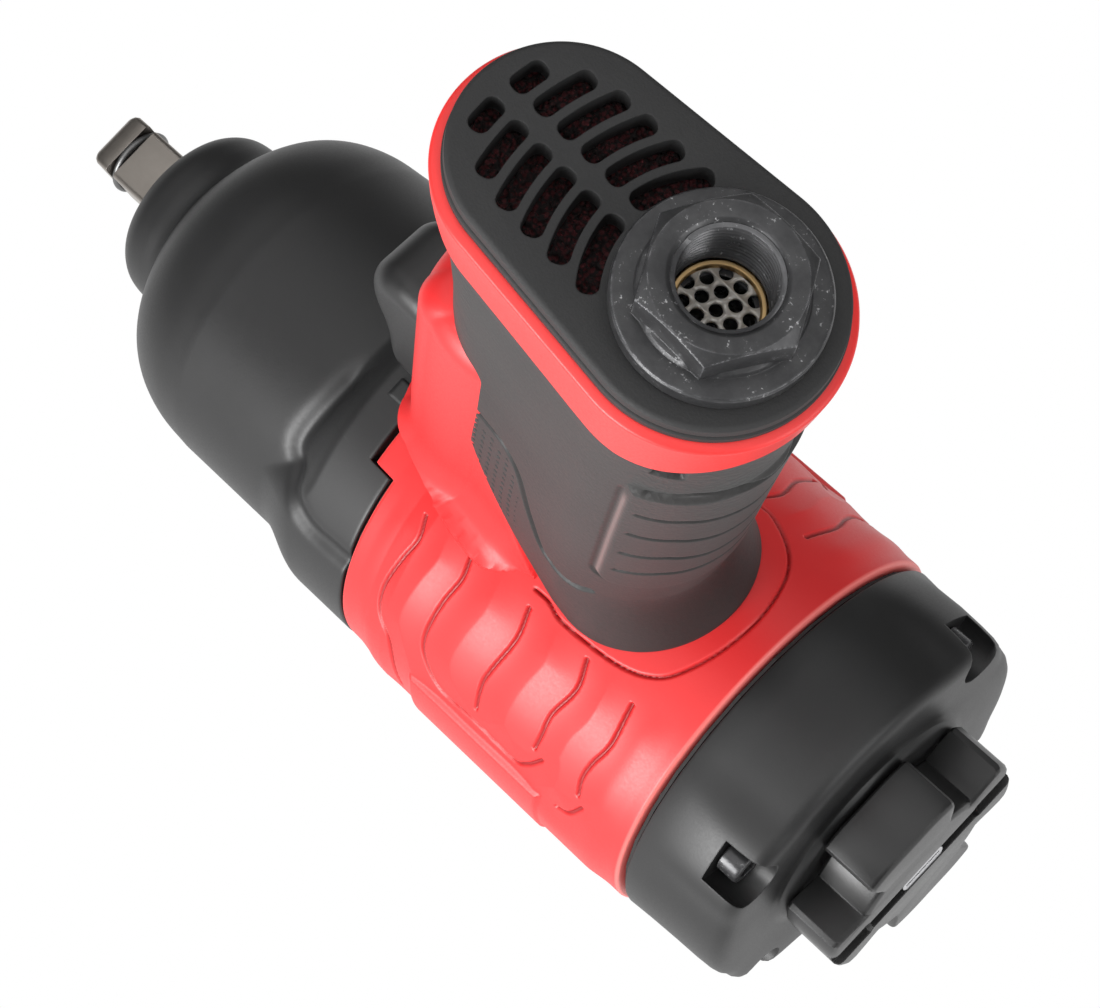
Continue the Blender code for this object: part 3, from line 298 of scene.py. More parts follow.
class Look:
    """A Principled material built up node by node."""

    def __init__(self, name, colour, roughness, metallic=0.0, coat=0.0, sheen=0.0):
        self.material = bpy.data.materials.new(name)
        self.material.use_nodes = True
        self.tree = self.material.node_tree
        self.shader = self.tree.nodes["Principled BSDF"]
        self.shader.inputs["Metallic"].default_value = metallic
        self.shader.inputs["Coat Weight"].default_value = coat
        self.shader.inputs["Coat Roughness"].default_value = 0.25
        self.shader.inputs["Sheen Weight"].default_value = sheen
        self.place = self.node("ShaderNodeTexCoord").outputs["Object"]
        self.colour = self.fixed(colour)
        self.rough = self.value(roughness)
        self.normal = None

    def node(self, kind, numbers=(), **settings):
        """A node with these settings and these (input, number) pairs."""
        made = self.tree.nodes.new(kind)
        for key, value in settings.items():
            setattr(made, key, value)
        for key, number in numbers:
            made.inputs[key].default_value = number
        return made

    def link(self, start, end):
        self.tree.links.new(start, end)

    def fixed(self, colour):
        made = self.node("ShaderNodeRGB")
        made.outputs[0].default_value = (*colour, 1.0)
        return made.outputs[0]

    def value(self, number):
        made = self.node("ShaderNodeValue")
        made.outputs[0].default_value = number
        return made.outputs[0]

    def noise(self, scale, detail=3.0, roughness=0.55):
        numbers = (("Scale", scale), ("Detail", detail), ("Roughness", roughness))
        made = self.node("ShaderNodeTexNoise", numbers)
        self.link(self.place, made.inputs["Vector"])
        return made.outputs["Fac"]

    def cells(self, scale):
        made = self.node("ShaderNodeTexVoronoi", [("Scale", scale)])
        self.link(self.place, made.inputs["Vector"])
        return made.outputs["Distance"]

    def band(self, signal, low, high, to_low=0.0, to_high=1.0):
        """The signal spread from low..high to to_low..to_high."""
        made = self.node("ShaderNodeMapRange", zip(RANGE_SOCKETS, (low, high, to_low, to_high)))
        self.link(signal, made.inputs["Value"])
        return made.outputs["Result"]

    def times(self, a, b, kind="MULTIPLY"):
        made = self.node("ShaderNodeMath", operation=kind)
        for socket, value in zip(made.inputs, (a, b)):
            if isinstance(value, (int, float)):
                socket.default_value = value
            else:
                self.link(value, socket)
        return made.outputs[0]

    def mark(self, name):
        made = self.node("ShaderNodeAttribute", attribute_name=name)
        return made.outputs["Fac"]

    def paint(self, colour, amount):
        """Mixes a colour in by a signal."""
        made = self.node("ShaderNodeMix", data_type="RGBA")
        self.link(amount, made.inputs[0])
        self.link(self.colour, made.inputs[6])
        made.inputs[7].default_value = (*colour, 1.0)
        self.colour = made.outputs[2]

    def gloss(self, amount, change):
        """Adds change to the roughness by a signal."""
        self.rough = self.times(self.rough, self.times(amount, change), "ADD")

    def bump(self, height, depth_mm):
        made = self.node("ShaderNodeBump", [("Strength", 1.0), ("Distance", depth_mm * MM)])
        self.link(height, made.inputs["Height"])
        if self.normal is not None:
            self.link(self.normal, made.inputs["Normal"])
        self.normal = made.outputs["Normal"]

    def round_edges(self, radius_mm):
        made = self.node("ShaderNodeBevel", [("Radius", radius_mm * MM)], samples=4)
        self.normal = made.outputs["Normal"]

    def edges(self, radius_mm):
        """A signal that is 1 on worn outer edges."""
        made = self.node("ShaderNodeBevel", [("Radius", radius_mm * MM)], samples=4)
        plain = self.node("ShaderNodeNewGeometry")
        dot = self.node("ShaderNodeVectorMath", operation="DOT_PRODUCT")
        self.link(made.outputs["Normal"], dot.inputs[0])
        self.link(plain.outputs["Normal"], dot.inputs[1])
        away = self.times(1.0, dot.outputs["Value"], "SUBTRACT")
        convex = self.band(plain.outputs["Pointiness"], 0.495, 0.53)
        return self.times(self.band(away, 0.02, 0.25), convex)

    def done(self):
        self.link(self.colour, self.shader.inputs["Base Color"])
        self.link(self.rough, self.shader.inputs["Roughness"])
        if self.normal is not None:
            self.link(self.normal, self.shader.inputs["Normal"])
        return self.material


def cast_black(name, base, roughness, grain):
    """Painted or moulded black with an even fine grain."""
    look = Look(name, (base, base, base * 1.02), roughness)
    look.round_edges(0.35)
    fine = look.noise(2600, 2.0)
    broad = look.noise(38, 3.0)
    look.paint((base * 1.7, base * 1.7, base * 1.75), look.band(broad, 0.35, 0.75, 0.0, 0.55))
    specks = look.band(look.noise(900, 4.0), 0.66, 0.8)
    look.paint((base * 2.6, base * 2.5, base * 2.5), look.times(specks, 0.25))
    look.gloss(look.band(broad, 0.3, 0.7), 0.07)
    look.gloss(look.band(fine, 0.3, 0.7), 0.06)
    look.bump(fine, grain)
    return look.done()


def red_resin(name, colour, roughness):
    """Moulded red resin, with painted shade in its grooves and a painted highlight on its rims."""
    look = Look(name, colour, roughness, coat=0.05)
    fine = look.noise(2300, 2.0)
    broad = look.noise(30, 3.0)
    darker = tuple(0.86 * c for c in colour)
    look.paint(darker, look.band(broad, 0.4, 0.75, 0.0, 0.4))
    # Painted shade: dark red where the "groove" mark says a groove or seam is.
    look.paint((0.20, 0.002, 0.004), look.times(look.mark("groove"), 0.85))
    # Painted highlight: pale red where the "light" mark says a rounded rim catches the light.
    look.paint((0.95, 0.30, 0.27), look.times(look.mark("light"), 0.55))
    look.gloss(look.band(fine, 0.3, 0.7), 0.08)
    look.bump(fine, 0.012)
    return look.done()


def steel(name, colour, roughness, scratch=0.5):
    """Machined steel with fine turning lines."""
    look = Look(name, colour, roughness, metallic=1.0)
    look.round_edges(0.2)
    stretch = look.node("ShaderNodeMapping", [("Scale", (90, 1400, 1400))])
    look.link(look.place, stretch.inputs["Vector"])
    lines = look.node("ShaderNodeTexNoise", [("Scale", 1.0), ("Detail", 3.0)])
    look.link(stretch.outputs["Vector"], lines.inputs["Vector"])
    broad = look.noise(60, 4.0)
    look.paint(tuple(0.6 * c for c in colour), look.band(broad, 0.4, 0.7, 0.0, 0.5))
    look.gloss(look.band(lines.outputs["Fac"], 0.3, 0.7), 0.15 * scratch)
    look.bump(lines.outputs["Fac"], 0.01 * scratch)
    return look.done()


def scuffed_steel(name, base, roughness):
    """Blackened steel, bright where it is knocked."""
    look = Look(name, (base, base, base * 1.05), roughness, metallic=0.45)
    look.round_edges(0.25)
    patch = look.noise(260, 5.0, 0.65)
    chips = look.noise(1500, 4.0, 0.7)
    worn = look.times(look.band(chips, 0.6, 0.68), look.band(patch, 0.5, 0.62))
    rub = look.times(look.edges(0.5), look.band(look.noise(500, 4.0), 0.42, 0.6))
    look.paint((base * 2.1, base * 2.1, base * 2.15), look.band(patch, 0.35, 0.7, 0.0, 0.6))
    look.paint((0.55, 0.55, 0.56), look.times(worn, 0.8))
    look.paint((0.5, 0.5, 0.52), look.times(rub, 0.8))
    look.gloss(look.band(patch, 0.3, 0.7), -0.12)
    look.bump(chips, 0.02)
    return look.done()


def leather_rubber(name, base, roughness):
    """Soft grip rubber with a pebbled grain that shows most near the band."""
    look = Look(name, (base * 1.08, base, base * 0.97), roughness, sheen=0.04)
    pebble = look.cells(900)
    fine = look.noise(3000, 2.0)
    strength = look.mark("grain")
    look.paint((base * 1.9, base * 1.75, base * 1.7), look.band(look.noise(45, 3.0), 0.35, 0.7, 0.0, 0.5))
    # Painted shade: darker where the "groove" mark says a groove, crease, dimple or notch is.
    look.paint((base * 0.35, base * 0.35, base * 0.35), look.times(look.mark("groove"), 0.75))
    # Painted highlight: a pale reddish line where the "light" mark says a panel edge catches the light.
    look.paint((0.30, 0.20, 0.19), look.times(look.mark("light"), 0.5))
    look.gloss(look.band(fine, 0.3, 0.7), 0.08)
    look.bump(look.times(pebble, strength), 0.14)
    look.bump(fine, 0.02)
    return look.done()


def soft_black(name, base, roughness, grain=0.01):
    look = Look(name, (base, base, base), roughness)
    fine = look.noise(2500, 3.0)
    look.paint((base * 2, base * 2, base * 2), look.band(look.noise(80, 3.0), 0.4, 0.7, 0.0, 0.4))
    look.gloss(look.band(fine, 0.3, 0.7), 0.1)
    look.bump(fine, grain)
    return look.done()


def screen_look():
    """Thin bright plate, flat enough that its holes read dark."""
    look = Look("screen_steel", (0.74, 0.71, 0.66), 0.45, metallic=0.25)
    look.paint((0.40, 0.36, 0.30), look.band(look.noise(420, 4.0), 0.5, 0.8, 0.0, 0.4))
    return look.done()


def foam_look():
    look = Look("foam_red", (0.055, 0.004, 0.006), 0.85)
    holes = look.cells(1300)
    # Painted shade: near black in a cell pattern, for the shade inside the foam's pores.
    look.paint((0.004, 0.001, 0.001), look.band(holes, 0.3, 0.6))
    look.paint((0.35, 0.06, 0.07), look.band(look.noise(2600, 4.0), 0.63, 0.74, 0.0, 0.55))
    look.bump(holes, 0.5)
    return look.done()


def make_looks():
    """Every material by its slot, and two that differ from the rest of their slot."""
    return {
        "black_case": cast_black("case_paint", 0.010, 0.40, 0.012),
        "black_cap": cast_black("cap_paint", 0.008, 0.40, 0.01),
        "base_black": cast_black("plate_powder", 0.014, 0.62, 0.045),
        "knob_black": cast_black("knob_resin", 0.008, 0.3, 0.008),
        "trigger_black": cast_black("trigger_resin", 0.010, 0.36, 0.008),
        "foam_red": foam_look(),
        "red_housing": red_resin("red_resin", (0.66, 0.017, 0.018), 0.42),
        "band": red_resin("band_resin", (0.80, 0.028, 0.026), 0.38),
        "grip_rubber": leather_rubber("grip_rubber", 0.010, 0.52),
        "inlet_steel": scuffed_steel("inlet_steel", 0.032, 0.42),
        "thread": scuffed_steel("thread_steel", 0.07, 0.3),
        "black_bolt": scuffed_steel("bolt_steel", 0.035, 0.35),
        "anvil_steel": steel("anvil_steel", (0.34, 0.31, 0.28), 0.34),
        "screen_bright": screen_look(),
        "machined_steel": steel("machined_steel", (0.56, 0.56, 0.58), 0.28),
        "race_steel": steel("race_steel", (0.66, 0.66, 0.68), 0.2),
        "spring_ring": steel("spring_steel", (0.2, 0.2, 0.2), 0.4),
        "bronze": steel("bronze", (0.62, 0.42, 0.2), 0.33),
        "black_rubber": soft_black("black_rubber", 0.014, 0.62),
        "gasket_fibre": soft_black("gasket_fibre", 0.02, 0.85, 0.03),
        "vane_resin": soft_black("vane_resin", 0.09, 0.6, 0.02),
    }


LOOKS = make_looks()


# Hammer case.


CASE_DOME = (
    (20.3, 13.2), (20.7, 15.2), (22.1, 17.5), (24.8, 19.2), (28.5, 19.75), (32.0, 19.8),
    (33.4, 20.4), (35.0, 22.9), (37.6, 26.8), (41.2, 30.4), (46.0, 33.2), (52.0, 35.0),
    (59.0, 35.7),
)
VALLEY = (
    (91.2, 10.0), (91.2, 18.4), (90.4, 28.7), (89.2, 46.5), (92.3, 52.4),
    (94.4, 57.2), (100.2, 62.0), (107.2, 62.0), (112.0, 61.5),
)


def case_radius(x, phi):
    """The hammer case's outside over its flare, with the land beside the housing's tongue."""
    side = np.abs(phi)
    in_land = 1 - smooth(48, 66, side)
    start = 83.0 + 7.5 * in_land
    end = 96.5 + 2.0 * in_land
    flare = 3.9 * smooth(0, 1, (x - start) / (end - start))
    line = curve([(a, b * 0.66) for a, b in VALLEY], 5)
    crease = np.exp(-((distance(x, side * 0.66, line) / 2.0) ** 2))
    crease = crease * smooth(10, 22, side)
    return CASE_RADIUS + flare - 1.25 * crease


def make_case():
    """The hammer case, and the small tab on its flare."""
    at_tongue = np.linspace(30.5, 33.5, 25)
    phi = np.unique(np.concatenate([np.linspace(-180, 180, 541)[:-1], at_tongue, -at_tongue]))
    dome = curve(CASE_DOME, 7)
    straight = np.stack([np.linspace(59.8, 80, 14), np.full(14, CASE_RADIUS)], -1)
    inside_nose = np.array([(30.0, 12.0), (21.4, 12.0), (20.8, 12.15), (20.4, 12.5)])
    fixed = np.vstack([inside_nose, dome, straight])
    rows = [spindle(-x, phi, np.full(len(phi), r)) for x, r in fixed]
    end = CASE_SEAM - (CASE_SEAM - TONGUE_FRONT + 0.9) * (1 - smooth(31.9, 32.5, np.abs(phi)))
    for t in np.linspace(0, 1, 76):
        x = 80.6 + (end - 0.45 - 80.6) * t
        rows.append(spindle(-x, phi, case_radius(x, phi)))
    lip = case_radius(end, phi)
    for back, drop in ((0.2, 0.06), (0.05, 0.2), (0.0, 0.45), (0.0, 3.4), (3.0, 3.6)):
        rows.append(spindle(-(end - back), phi, lip - drop))
    skin = grid("case_skin", np.array(rows), smooth_angle=60)
    give(skin, "housing", "black_case", "hammer_case")
    tab_phi, tab_x = np.meshgrid(np.linspace(-16.5, -9.5, 15), np.linspace(99.5, 105.0, 12))
    edge = np.minimum.reduce([tab_phi + 16.5, -9.5 - tab_phi, (tab_x - 99.5), (105.0 - tab_x)])
    height = case_radius(tab_x, tab_phi) - 0.4 + 1.0 * smooth(0, 1.2, edge)
    tab = grid("case_tab", spindle(-tab_x, tab_phi, height), wrap=False)
    give(tab, "housing", "black_case")


# Motor housing: barrel, cheeks beside the trigger and the band at the foot.


GROOVES = (
    (
        (-120.9, 32.7), (-122.4, 38.8), (-121.5, 46.4), (-120.4, 58.3), (-121.5, 66.7),
        (-125.4, 73.9), (-127.7, 93.0),
    ),
    (
        (-132.7, 32.8), (-133.6, 38.8), (-132.7, 48.1), (-132.4, 61.2), (-134.6, 68.2),
        (-139.3, 73.3), (-147.2, 72.7), (-157.7, 73.5), (-161.1, 70.3), (-163.7, 64.3),
    ),
    ((-147.2, 32.0), (-148.5, 40.6), (-147.3, 52.4), (-146.8, 58.5), (-147.5, 67.7)),
    ((-161.4, 31.7), (-163.0, 39.5), (-161.5, 49.7), (-161.6, 56.8), (-161.5, 62.7)),
    ((-172.8, 32.4), (-173.8, 44.1), (-172.6, 52.6), (-172.2, 58.7), (-172.9, 64.6)),
    ((-169.4, 76.0), (-172.3, 73.8), (-174.5, 67.5)),
)
SKIRT_LINE = (
    (-146.0, -27.4), (-149.4, -27.4), (-153.1, -28.9), (-159.7, -28.6), (-166.5, -27.4),
    (-171.8, -24.6), (-175.5, -19.5), (-178.6, -8.3), (-179.3, 4.6), (-177.1, 16.9),
    (-173.0, 24.6), (-166.9, 29.5), (-162.9, 30.0), (-153.1, 28.9), (-146.0, 27.4),
)
DEGREE = math.radians(1) * BARREL


def barrel_field(x, phi):
    """The barrel's radius and how deep in a groove each point is, which also sets the groove's painted shade.
    """
    side = np.abs(phi)
    base = read([(-112, 39.5), (-118, 39.7), (-123, BARREL), (-190, BARREL)], x)
    nearest = np.full(x.shape, 1e9)
    for line in GROOVES:
        smooth_line = curve([(a, b * DEGREE) for a, b in line], 5)
        nearest = np.minimum(nearest, distance(x, side * DEGREE, smooth_line))
    over = smooth(28, 40, side) * (1 - smooth(96, 104, side))
    along = smooth(-183, -177, x) * (1 - smooth(-121, -114, x))
    pillow = 0.7 * smooth(0.2, 9.0, nearest) * over * along
    inside = np.minimum.reduce([x + 166, -131 - x, (side - 76.5) * DEGREE, (103.5 - side) * DEGREE])
    pad = smooth(-0.4, 1.4, inside)
    radius = np.maximum(base + pillow, base + 1.15 * pad)
    seam = curve([(a, b * DEGREE) for a, b in SKIRT_LINE], 5)
    nearest = np.minimum(nearest, distance(x, phi * DEGREE, seam) + 0.12)
    dent = 1 - smooth(0.14, 0.55, nearest)
    return radius - 0.6 * dent, dent


def make_barrel():
    """The red barrel, with its grooves, its raised pad and the tongue at its front."""
    at_tongue = np.linspace(31, 33, 21)
    phi = np.unique(np.concatenate([np.linspace(-180, 180, 841)[:-1], at_tongue, -at_tongue]))
    in_tongue = 1 - smooth(TONGUE_HALF - 0.2, TONGUE_HALF + 0.4, np.abs(phi))
    front = np.linspace(-TONGUE_FRONT, -CASE_SEAM - 0.4, 16)
    body = np.linspace(-CASE_SEAM - 0.4, -CAP_SEAM + 0.1, 262)[1:]
    xs = [-CASE_SEAM - 0.4 + (x + CASE_SEAM + 0.4) * (in_tongue + 0.004) for x in front]
    xs += [np.full(len(phi), x) for x in body]
    x = np.array(xs)
    ring = np.broadcast_to(phi, x.shape)
    radius, dent = barrel_field(x, ring)
    from_front = xs[0] - x
    from_rear = x - body[-1]
    for gap in (from_front, from_rear):
        rounded = 0.7 - np.sqrt(np.maximum(0.49 - np.maximum(0.7 - gap, 0) ** 2, 0))
        radius = radius - rounded
    # Painted highlight along the barrel's rounded rear rim, and half as much along its front rim.
    light = np.maximum(1 - smooth(0.25, 0.9, from_rear), 0.5 * (1 - smooth(0.2, 0.6, from_front)))
    points = spindle(x, ring, radius)
    inner = [spindle(xs[0] - 3.0, phi, 36.5 + 0 * phi), spindle(xs[0], phi, 36.2 + 0 * phi)]
    outer = [spindle(x[-1], phi, 36.2 + 0 * phi)]
    points = np.concatenate([np.array(inner), points, np.array(outer)])
    zero = np.zeros((2, len(phi)))
    # The groove mark sets the painted shade in the grooves; the light mark sets the painted highlight on the
    # rims.
    layers = {"groove": dent, "light": light}
    marks = {key: np.concatenate([zero, layer, zero[:1]]) for key, layer in layers.items()}
    skin = grid("barrel_skin", points, marks=marks, smooth_angle=70)
    give(skin, "housing", "red_housing", "motor_housing")


HANDLE = (
    (4.3, 1.3, 20.2, 29.3, 17.8), (9.5, 1.3, 19.8, 29.4, 17.4), (14.0, 1.3, 19.4, 29.4, 16.9),
    (20.5, 1.3, 18.9, 29.2, 16.1), (27.0, 1.3, 18.7, 28.8, 15.4), (45.0, 1.3, 18.5, 27.2, 14.9),
    (62.0, 1.3, 18.4, 26.6, 14.7), (76.0, 1.3, 18.4, 27.2, 14.6), (88.0, 1.3, 18.4, 28.0, 14.6),
    (104.0, 1.3, 18.4, 28.2, 14.6), (116.0, 1.3, 18.4, 27.0, 14.6), (140.0, 1.3, 18.4, 26.0, 14.6),
)


def handle_tables(heights):
    """The handle's rear, rear radius, front and front radius at these heights."""
    level, *columns = zip(*HANDLE)
    return [np.interp(heights, level, column) for column in columns]


CHEEK_REACH = ((56.0, 44.0), (62.0, 44.2), (106.0, 44.2), (128.0, 43.6))
CHEEK_HALF = 14.2
CHEEK_CORNER = 5.5
# How round the cheeks' lower end is.
CHEEK_FOOT = 6.0
RUBBER_EDGE = (
    (2.0, 126.0), (11.0, 116.0), (17.0, 108.0), (26.0, 93.0), (32.0, 76.0),
    (35.0, 65.0), (36.0, 56.0), (60.0, 55.0),
)


def polar(outline, centre, angles):
    """A star-shaped outline as its distance from a centre at these angles."""
    a = np.arctan2(outline[:, 1], outline[:, 0] - centre)
    r = np.hypot(outline[:, 0] - centre, outline[:, 1])
    order = np.argsort(a)
    return np.interp(angles, a[order], r[order], period=2 * math.pi)


def beyond_rubber(u, h):
    """How far a point on the handle is past the rubber's edge, on the neck's side."""
    line = curve(RUBBER_EDGE, 6)
    level = np.interp(u, line[:, 0], line[:, 1])
    return distance(u, h, line) * np.where(h > level, 1.0, -1.0)


def make_neck():
    """The red neck that flows from the barrel, with the block that holds the trigger."""
    centre = 18.0
    fillet = 10.0
    blend = 1.2
    angles = np.radians(np.linspace(-128, 128, 300))
    heights = np.concatenate([np.linspace(54.5, 63, 32), np.linspace(63.6, 126, 120)])
    rear, rear_radius, front, front_radius = handle_tables(heights[:, None])
    shell = hull((rear, rear_radius - 0.3, front, front_radius - 0.3))
    rows = []
    for i, h in enumerate(heights):
        r = polar(np.stack([shell[0][i], shell[1][i]], -1), centre, angles)
        hidden = -beyond_rubber(centre + r * np.cos(angles), np.full(len(angles), h))
        r = r - 1.4 * smooth(0.3, 1.3, hidden)
        less = CHEEK_FOOT - math.sqrt(max(CHEEK_FOOT**2 - max(62.0 - h, 0) ** 2, 0))
        reach = float(read(CHEEK_REACH, h)) - less
        half, corner = CHEEK_HALF - less, CHEEK_CORNER
        ring = [(24.0, -half), (24.0, half)]
        for sign in (-1, 1):
            for t in np.linspace(0, math.pi / 2, 16):
                over = sign * (half - corner + corner * math.cos(t))
                ring.append((reach - corner + corner * math.sin(t), over))
        if h > 56.2:
            block = polar(np.array(ring), centre, angles) * (np.abs(angles) < 1.1)
            share = np.clip(0.5 + 0.5 * (block - r) / blend, 0, 1)
            r = r * (1 - share) + block * share + blend * share * (1 - share) * 0.6
        u, v = centre + r * np.cos(angles), r * np.sin(angles)
        factor = smooth(6, 17, u)
        push = 0.0
        for _ in range(3):
            place = from_handle(u + push * np.cos(angles), v + push * np.sin(angles), h)
            above = np.hypot(place[:, 1], place[:, 2]) - BARREL
            lack = np.clip(fillet - above, 0, fillet)
            push = 0.62 * (fillet - np.sqrt(np.maximum(fillet**2 - lack**2, 0))) * factor
        rows.append(from_handle(u + push * np.cos(angles), v + push * np.sin(angles), h))
    neck = outward(grid("neck_skin", np.array(rows), ends=True, smooth_angle=45))
    pocket = [(31.5, -9.0), (60.0, -9.0), (60.0, 9.0), (31.5, 9.0)]
    cut(neck, prism("pocket", pocket, 83.4, 121.0, place=in_handle))
    sharpen(neck, 40)
    give(neck, "housing", "red_housing", "motor_housing")


def band_edge(v):
    """Height of the red band's upper edge across the handle."""
    return 13.5 + 6.5 * np.minimum((v / 17.0) ** 2, 1.3)


def make_band():
    """The band between the plate and the rubber, rounded at both edges."""
    foot_level = 4.45
    top = band_edge(hull(handle_tables(10.0), FINE_COUNTS)[1])
    heights = foot_level + (top - foot_level) * np.linspace(0, 1, 46)[:, None]
    u, v, nu, nv, _ = hull(handle_tables(heights), FINE_COUNTS)
    low = np.clip(heights - foot_level, 0, 0.8) / 0.8
    high = np.clip(top - heights, 0, 1.2) / 1.2
    edge = np.sqrt(1 - (1 - low) ** 2) * np.sqrt(1 - (1 - high) ** 2)
    grow = -1.2 + 1.9 * edge
    points = from_handle(u + grow * nu, v + grow * nv, heights)
    inner = from_handle(u[-1] - 3 * nu[-1], v[-1] - 3 * nv[-1], heights[-1])
    foot = from_handle(u[0] - 3 * nu[0], v[0] - 3 * nv[0], heights[0])
    points = np.concatenate([foot[None], points, inner[None]])
    zero = np.zeros((1, len(top)))
    # Painted highlight along the band's rounded upper edge.
    light = np.concatenate([zero, 0.35 * (1 - smooth(0.1, 0.9, high)), zero])
    skin = grid("band_skin", points, marks={"groove": 0 * light, "light": light}, smooth_angle=60)
    give(skin, "housing", "red_housing", "motor_housing", look="band")


# Rubber grip.


S_LINE = (
    (74.0, 66.0), (77.1, 58.5), (76.1, 53.0), (75.2, 47.6), (77.0, 44.1), (80.9, 41.5),
    (89.6, 38.3), (98.5, 33.9), (100.2, 30.9), (101.0, 28.5), (100.3, 25.2), (98.3, 22.5),
)
PALM_GROOVES = (
    (33.9, 32.0, 31.9, 36.0),
    (44.4, 44.7, 44.9, 49.5),
    (55.4, 55.6, 56.6, 60.5),
    (67.0, 66.2, 67.4, 71.0),
    (77.6, 76.2, 75.5, 78.5),
)
# The palm panel's upper edge, its edge to each side and its corner radius.
PANEL_TOP = 87.0
PANEL_SIDE = 22.9
PANEL_CORNER = 3.5


def grip_field(h, d):
    """How far the rubber stands out, how deep in a groove it is for its painted shade, and how strong the
    painted highlight on its panel rims is.
    """
    side = np.abs(d)
    line = curve(S_LINE, 5)
    crease = 1 - smooth(0.35, 1.0, distance(h, side, line))
    below, within = PANEL_TOP - h, PANEL_SIDE - side
    inside = np.minimum.reduce([h - 33.5, below, within])
    round_off = np.hypot(np.maximum(PANEL_CORNER - below, 0), np.maximum(PANEL_CORNER - within, 0))
    at_corner = (below < PANEL_CORNER) & (within < PANEL_CORNER)
    inside = np.where(at_corner, PANEL_CORNER - round_off, inside)
    panel = smooth(-0.2, 1.5, inside)
    outline = (1 - smooth(0.2, 0.75, np.abs(inside + 0.55))) * smooth(35.5, 38, h)
    cuts = np.zeros(h.shape)
    for outer, middle, inner, centre in PALM_GROOVES:
        level = np.interp(side, [0.0, 6.0, 13.0, 21.0], [centre, inner + 2.0, middle, outer])
        line_cut = 1 - smooth(0.2, 0.7, np.abs(h - level))
        cuts = np.maximum(cuts, line_cut * (1 - smooth(19.6, 20.6, side)))
    pit_h, pit_d = (h - 78.0) / 2.7, (side - 44.0) / 2.1
    shift = (np.floor(pit_d) % 2) * 0.5
    spot = np.hypot((pit_h + shift) % 1 - 0.5, pit_d % 1 - 0.5)
    region = (distance(h, side, line) > 2.2) & (h > 79) & (h < 107) & (side > 41.0) & (side < 57)
    front_of = side > np.interp(h, [75.0, 81.0, 90.0, 98.5, 107.0], [47.0, 43.5, 40.0, 36.5, 34.0])
    pits = (1 - smooth(0.10, 0.21, spot)) * (region & front_of)
    notch = smooth(0, 0.5, np.minimum.reduce([h - 15.0, 24.5 - h, side - 15.6, 20.7 - side]))
    raised = 0.85 * panel - 0.55 * cuts - 0.6 * crease - 0.3 * pits - 0.9 * notch - 0.4 * outline
    # Painted highlight along the palm panel's side edges, the bevel that catches the light.
    rim = np.exp(-(((side - 22.6) / 0.45) ** 2)) * smooth(36, 42, h) * (1 - smooth(84, 87, h))
    # Painted shade in the grooves, the crease, the dimples, the notch and the panel's outline.
    groove = np.maximum.reduce([cuts, crease, 0.8 * pits, notch, outline])
    return raised, groove, rim


def make_grip():
    """Sleeve over the handle whose skirt spreads on to the barrel."""
    u0, v0 = hull((1.3, 18.4, 27.5, 14.6), FINE_COUNTS)[:2]
    top = np.full(len(u0), 116.0)
    for _ in range(12):
        place = from_handle(u0, v0, top)
        surface = -np.sqrt(np.maximum(SKIRT_RADIUS**2 - place[:, 1] ** 2, 0))
        top = top + (surface - place[:, 2]) / math.cos(LEAN)
    low = band_edge(v0) + 0.25
    heights = low + (top - low) * np.linspace(0, 1, 420)[:, None]
    u, v, nu, nv, d = hull(handle_tables(heights), FINE_COUNTS)
    raised, groove, rim = grip_field(heights, d)
    fade = 1 - smooth(104, 110, heights)
    open_at = smooth(0.0, 0.9, beyond_rubber(u, heights))
    lower_edge = np.minimum(heights - low, 1.2)
    lip = 1.2 - np.sqrt(np.maximum(1.44 - (1.2 - lower_edge) ** 2, 0))
    grow = raised * fade - 3.2 * open_at - lip
    base = from_handle(u + grow * nu, v + grow * nv, heights)
    x, y = hull((-156.5, 19.0, -122.9, 13.5), FINE_COUNTS)[:2]
    landing = np.stack([x, y, -np.sqrt(SKIRT_RADIUS**2 - y**2)], -1)
    end = from_handle(u[-1], v[-1], heights[-1])
    ease = np.clip((heights - 97.0) / (top - 97.0), 0, 1) ** 1.7
    points = base + ease[..., None] * (landing - end)
    last = points[-1].copy()
    scale = (BARREL - 0.6) / np.hypot(last[:, 1], last[:, 2])
    foot = np.stack([last[:, 0], last[:, 1] * scale, last[:, 2] * scale], -1)
    inner = from_handle(u[0] - 3 * nu[0], v[0] - 3 * nv[0], heights[0])
    points = np.concatenate([inner[None], points, foot[None]])
    zero = np.zeros((1, len(u0)))
    off_panel = 1 - smooth(21.5, 23, 40 - np.abs(np.abs(d) - 40))
    grain = 0.25 + 0.75 * (1 - smooth(26, 60, heights)) * off_panel
    waves = 0.7 + 0.3 * ripple(heights * 0.55, d, 3.1, 5)
    # The groove mark carries painted shade and the light mark carries a painted highlight.
    layers = {
        "groove": np.clip(groove * fade, 0, 1),
        "light": rim * fade,
        "grain": np.clip(grain, 0.2, 1) * waves,
    }
    marks = {key: np.concatenate([zero, layer, zero]) for key, layer in layers.items()}
    skin = grid("grip_skin", points, marks=marks, smooth_angle=70)
    give(skin, "housing", "grip_rubber", "grip")


# Base plate, exhaust foam and air inlet.


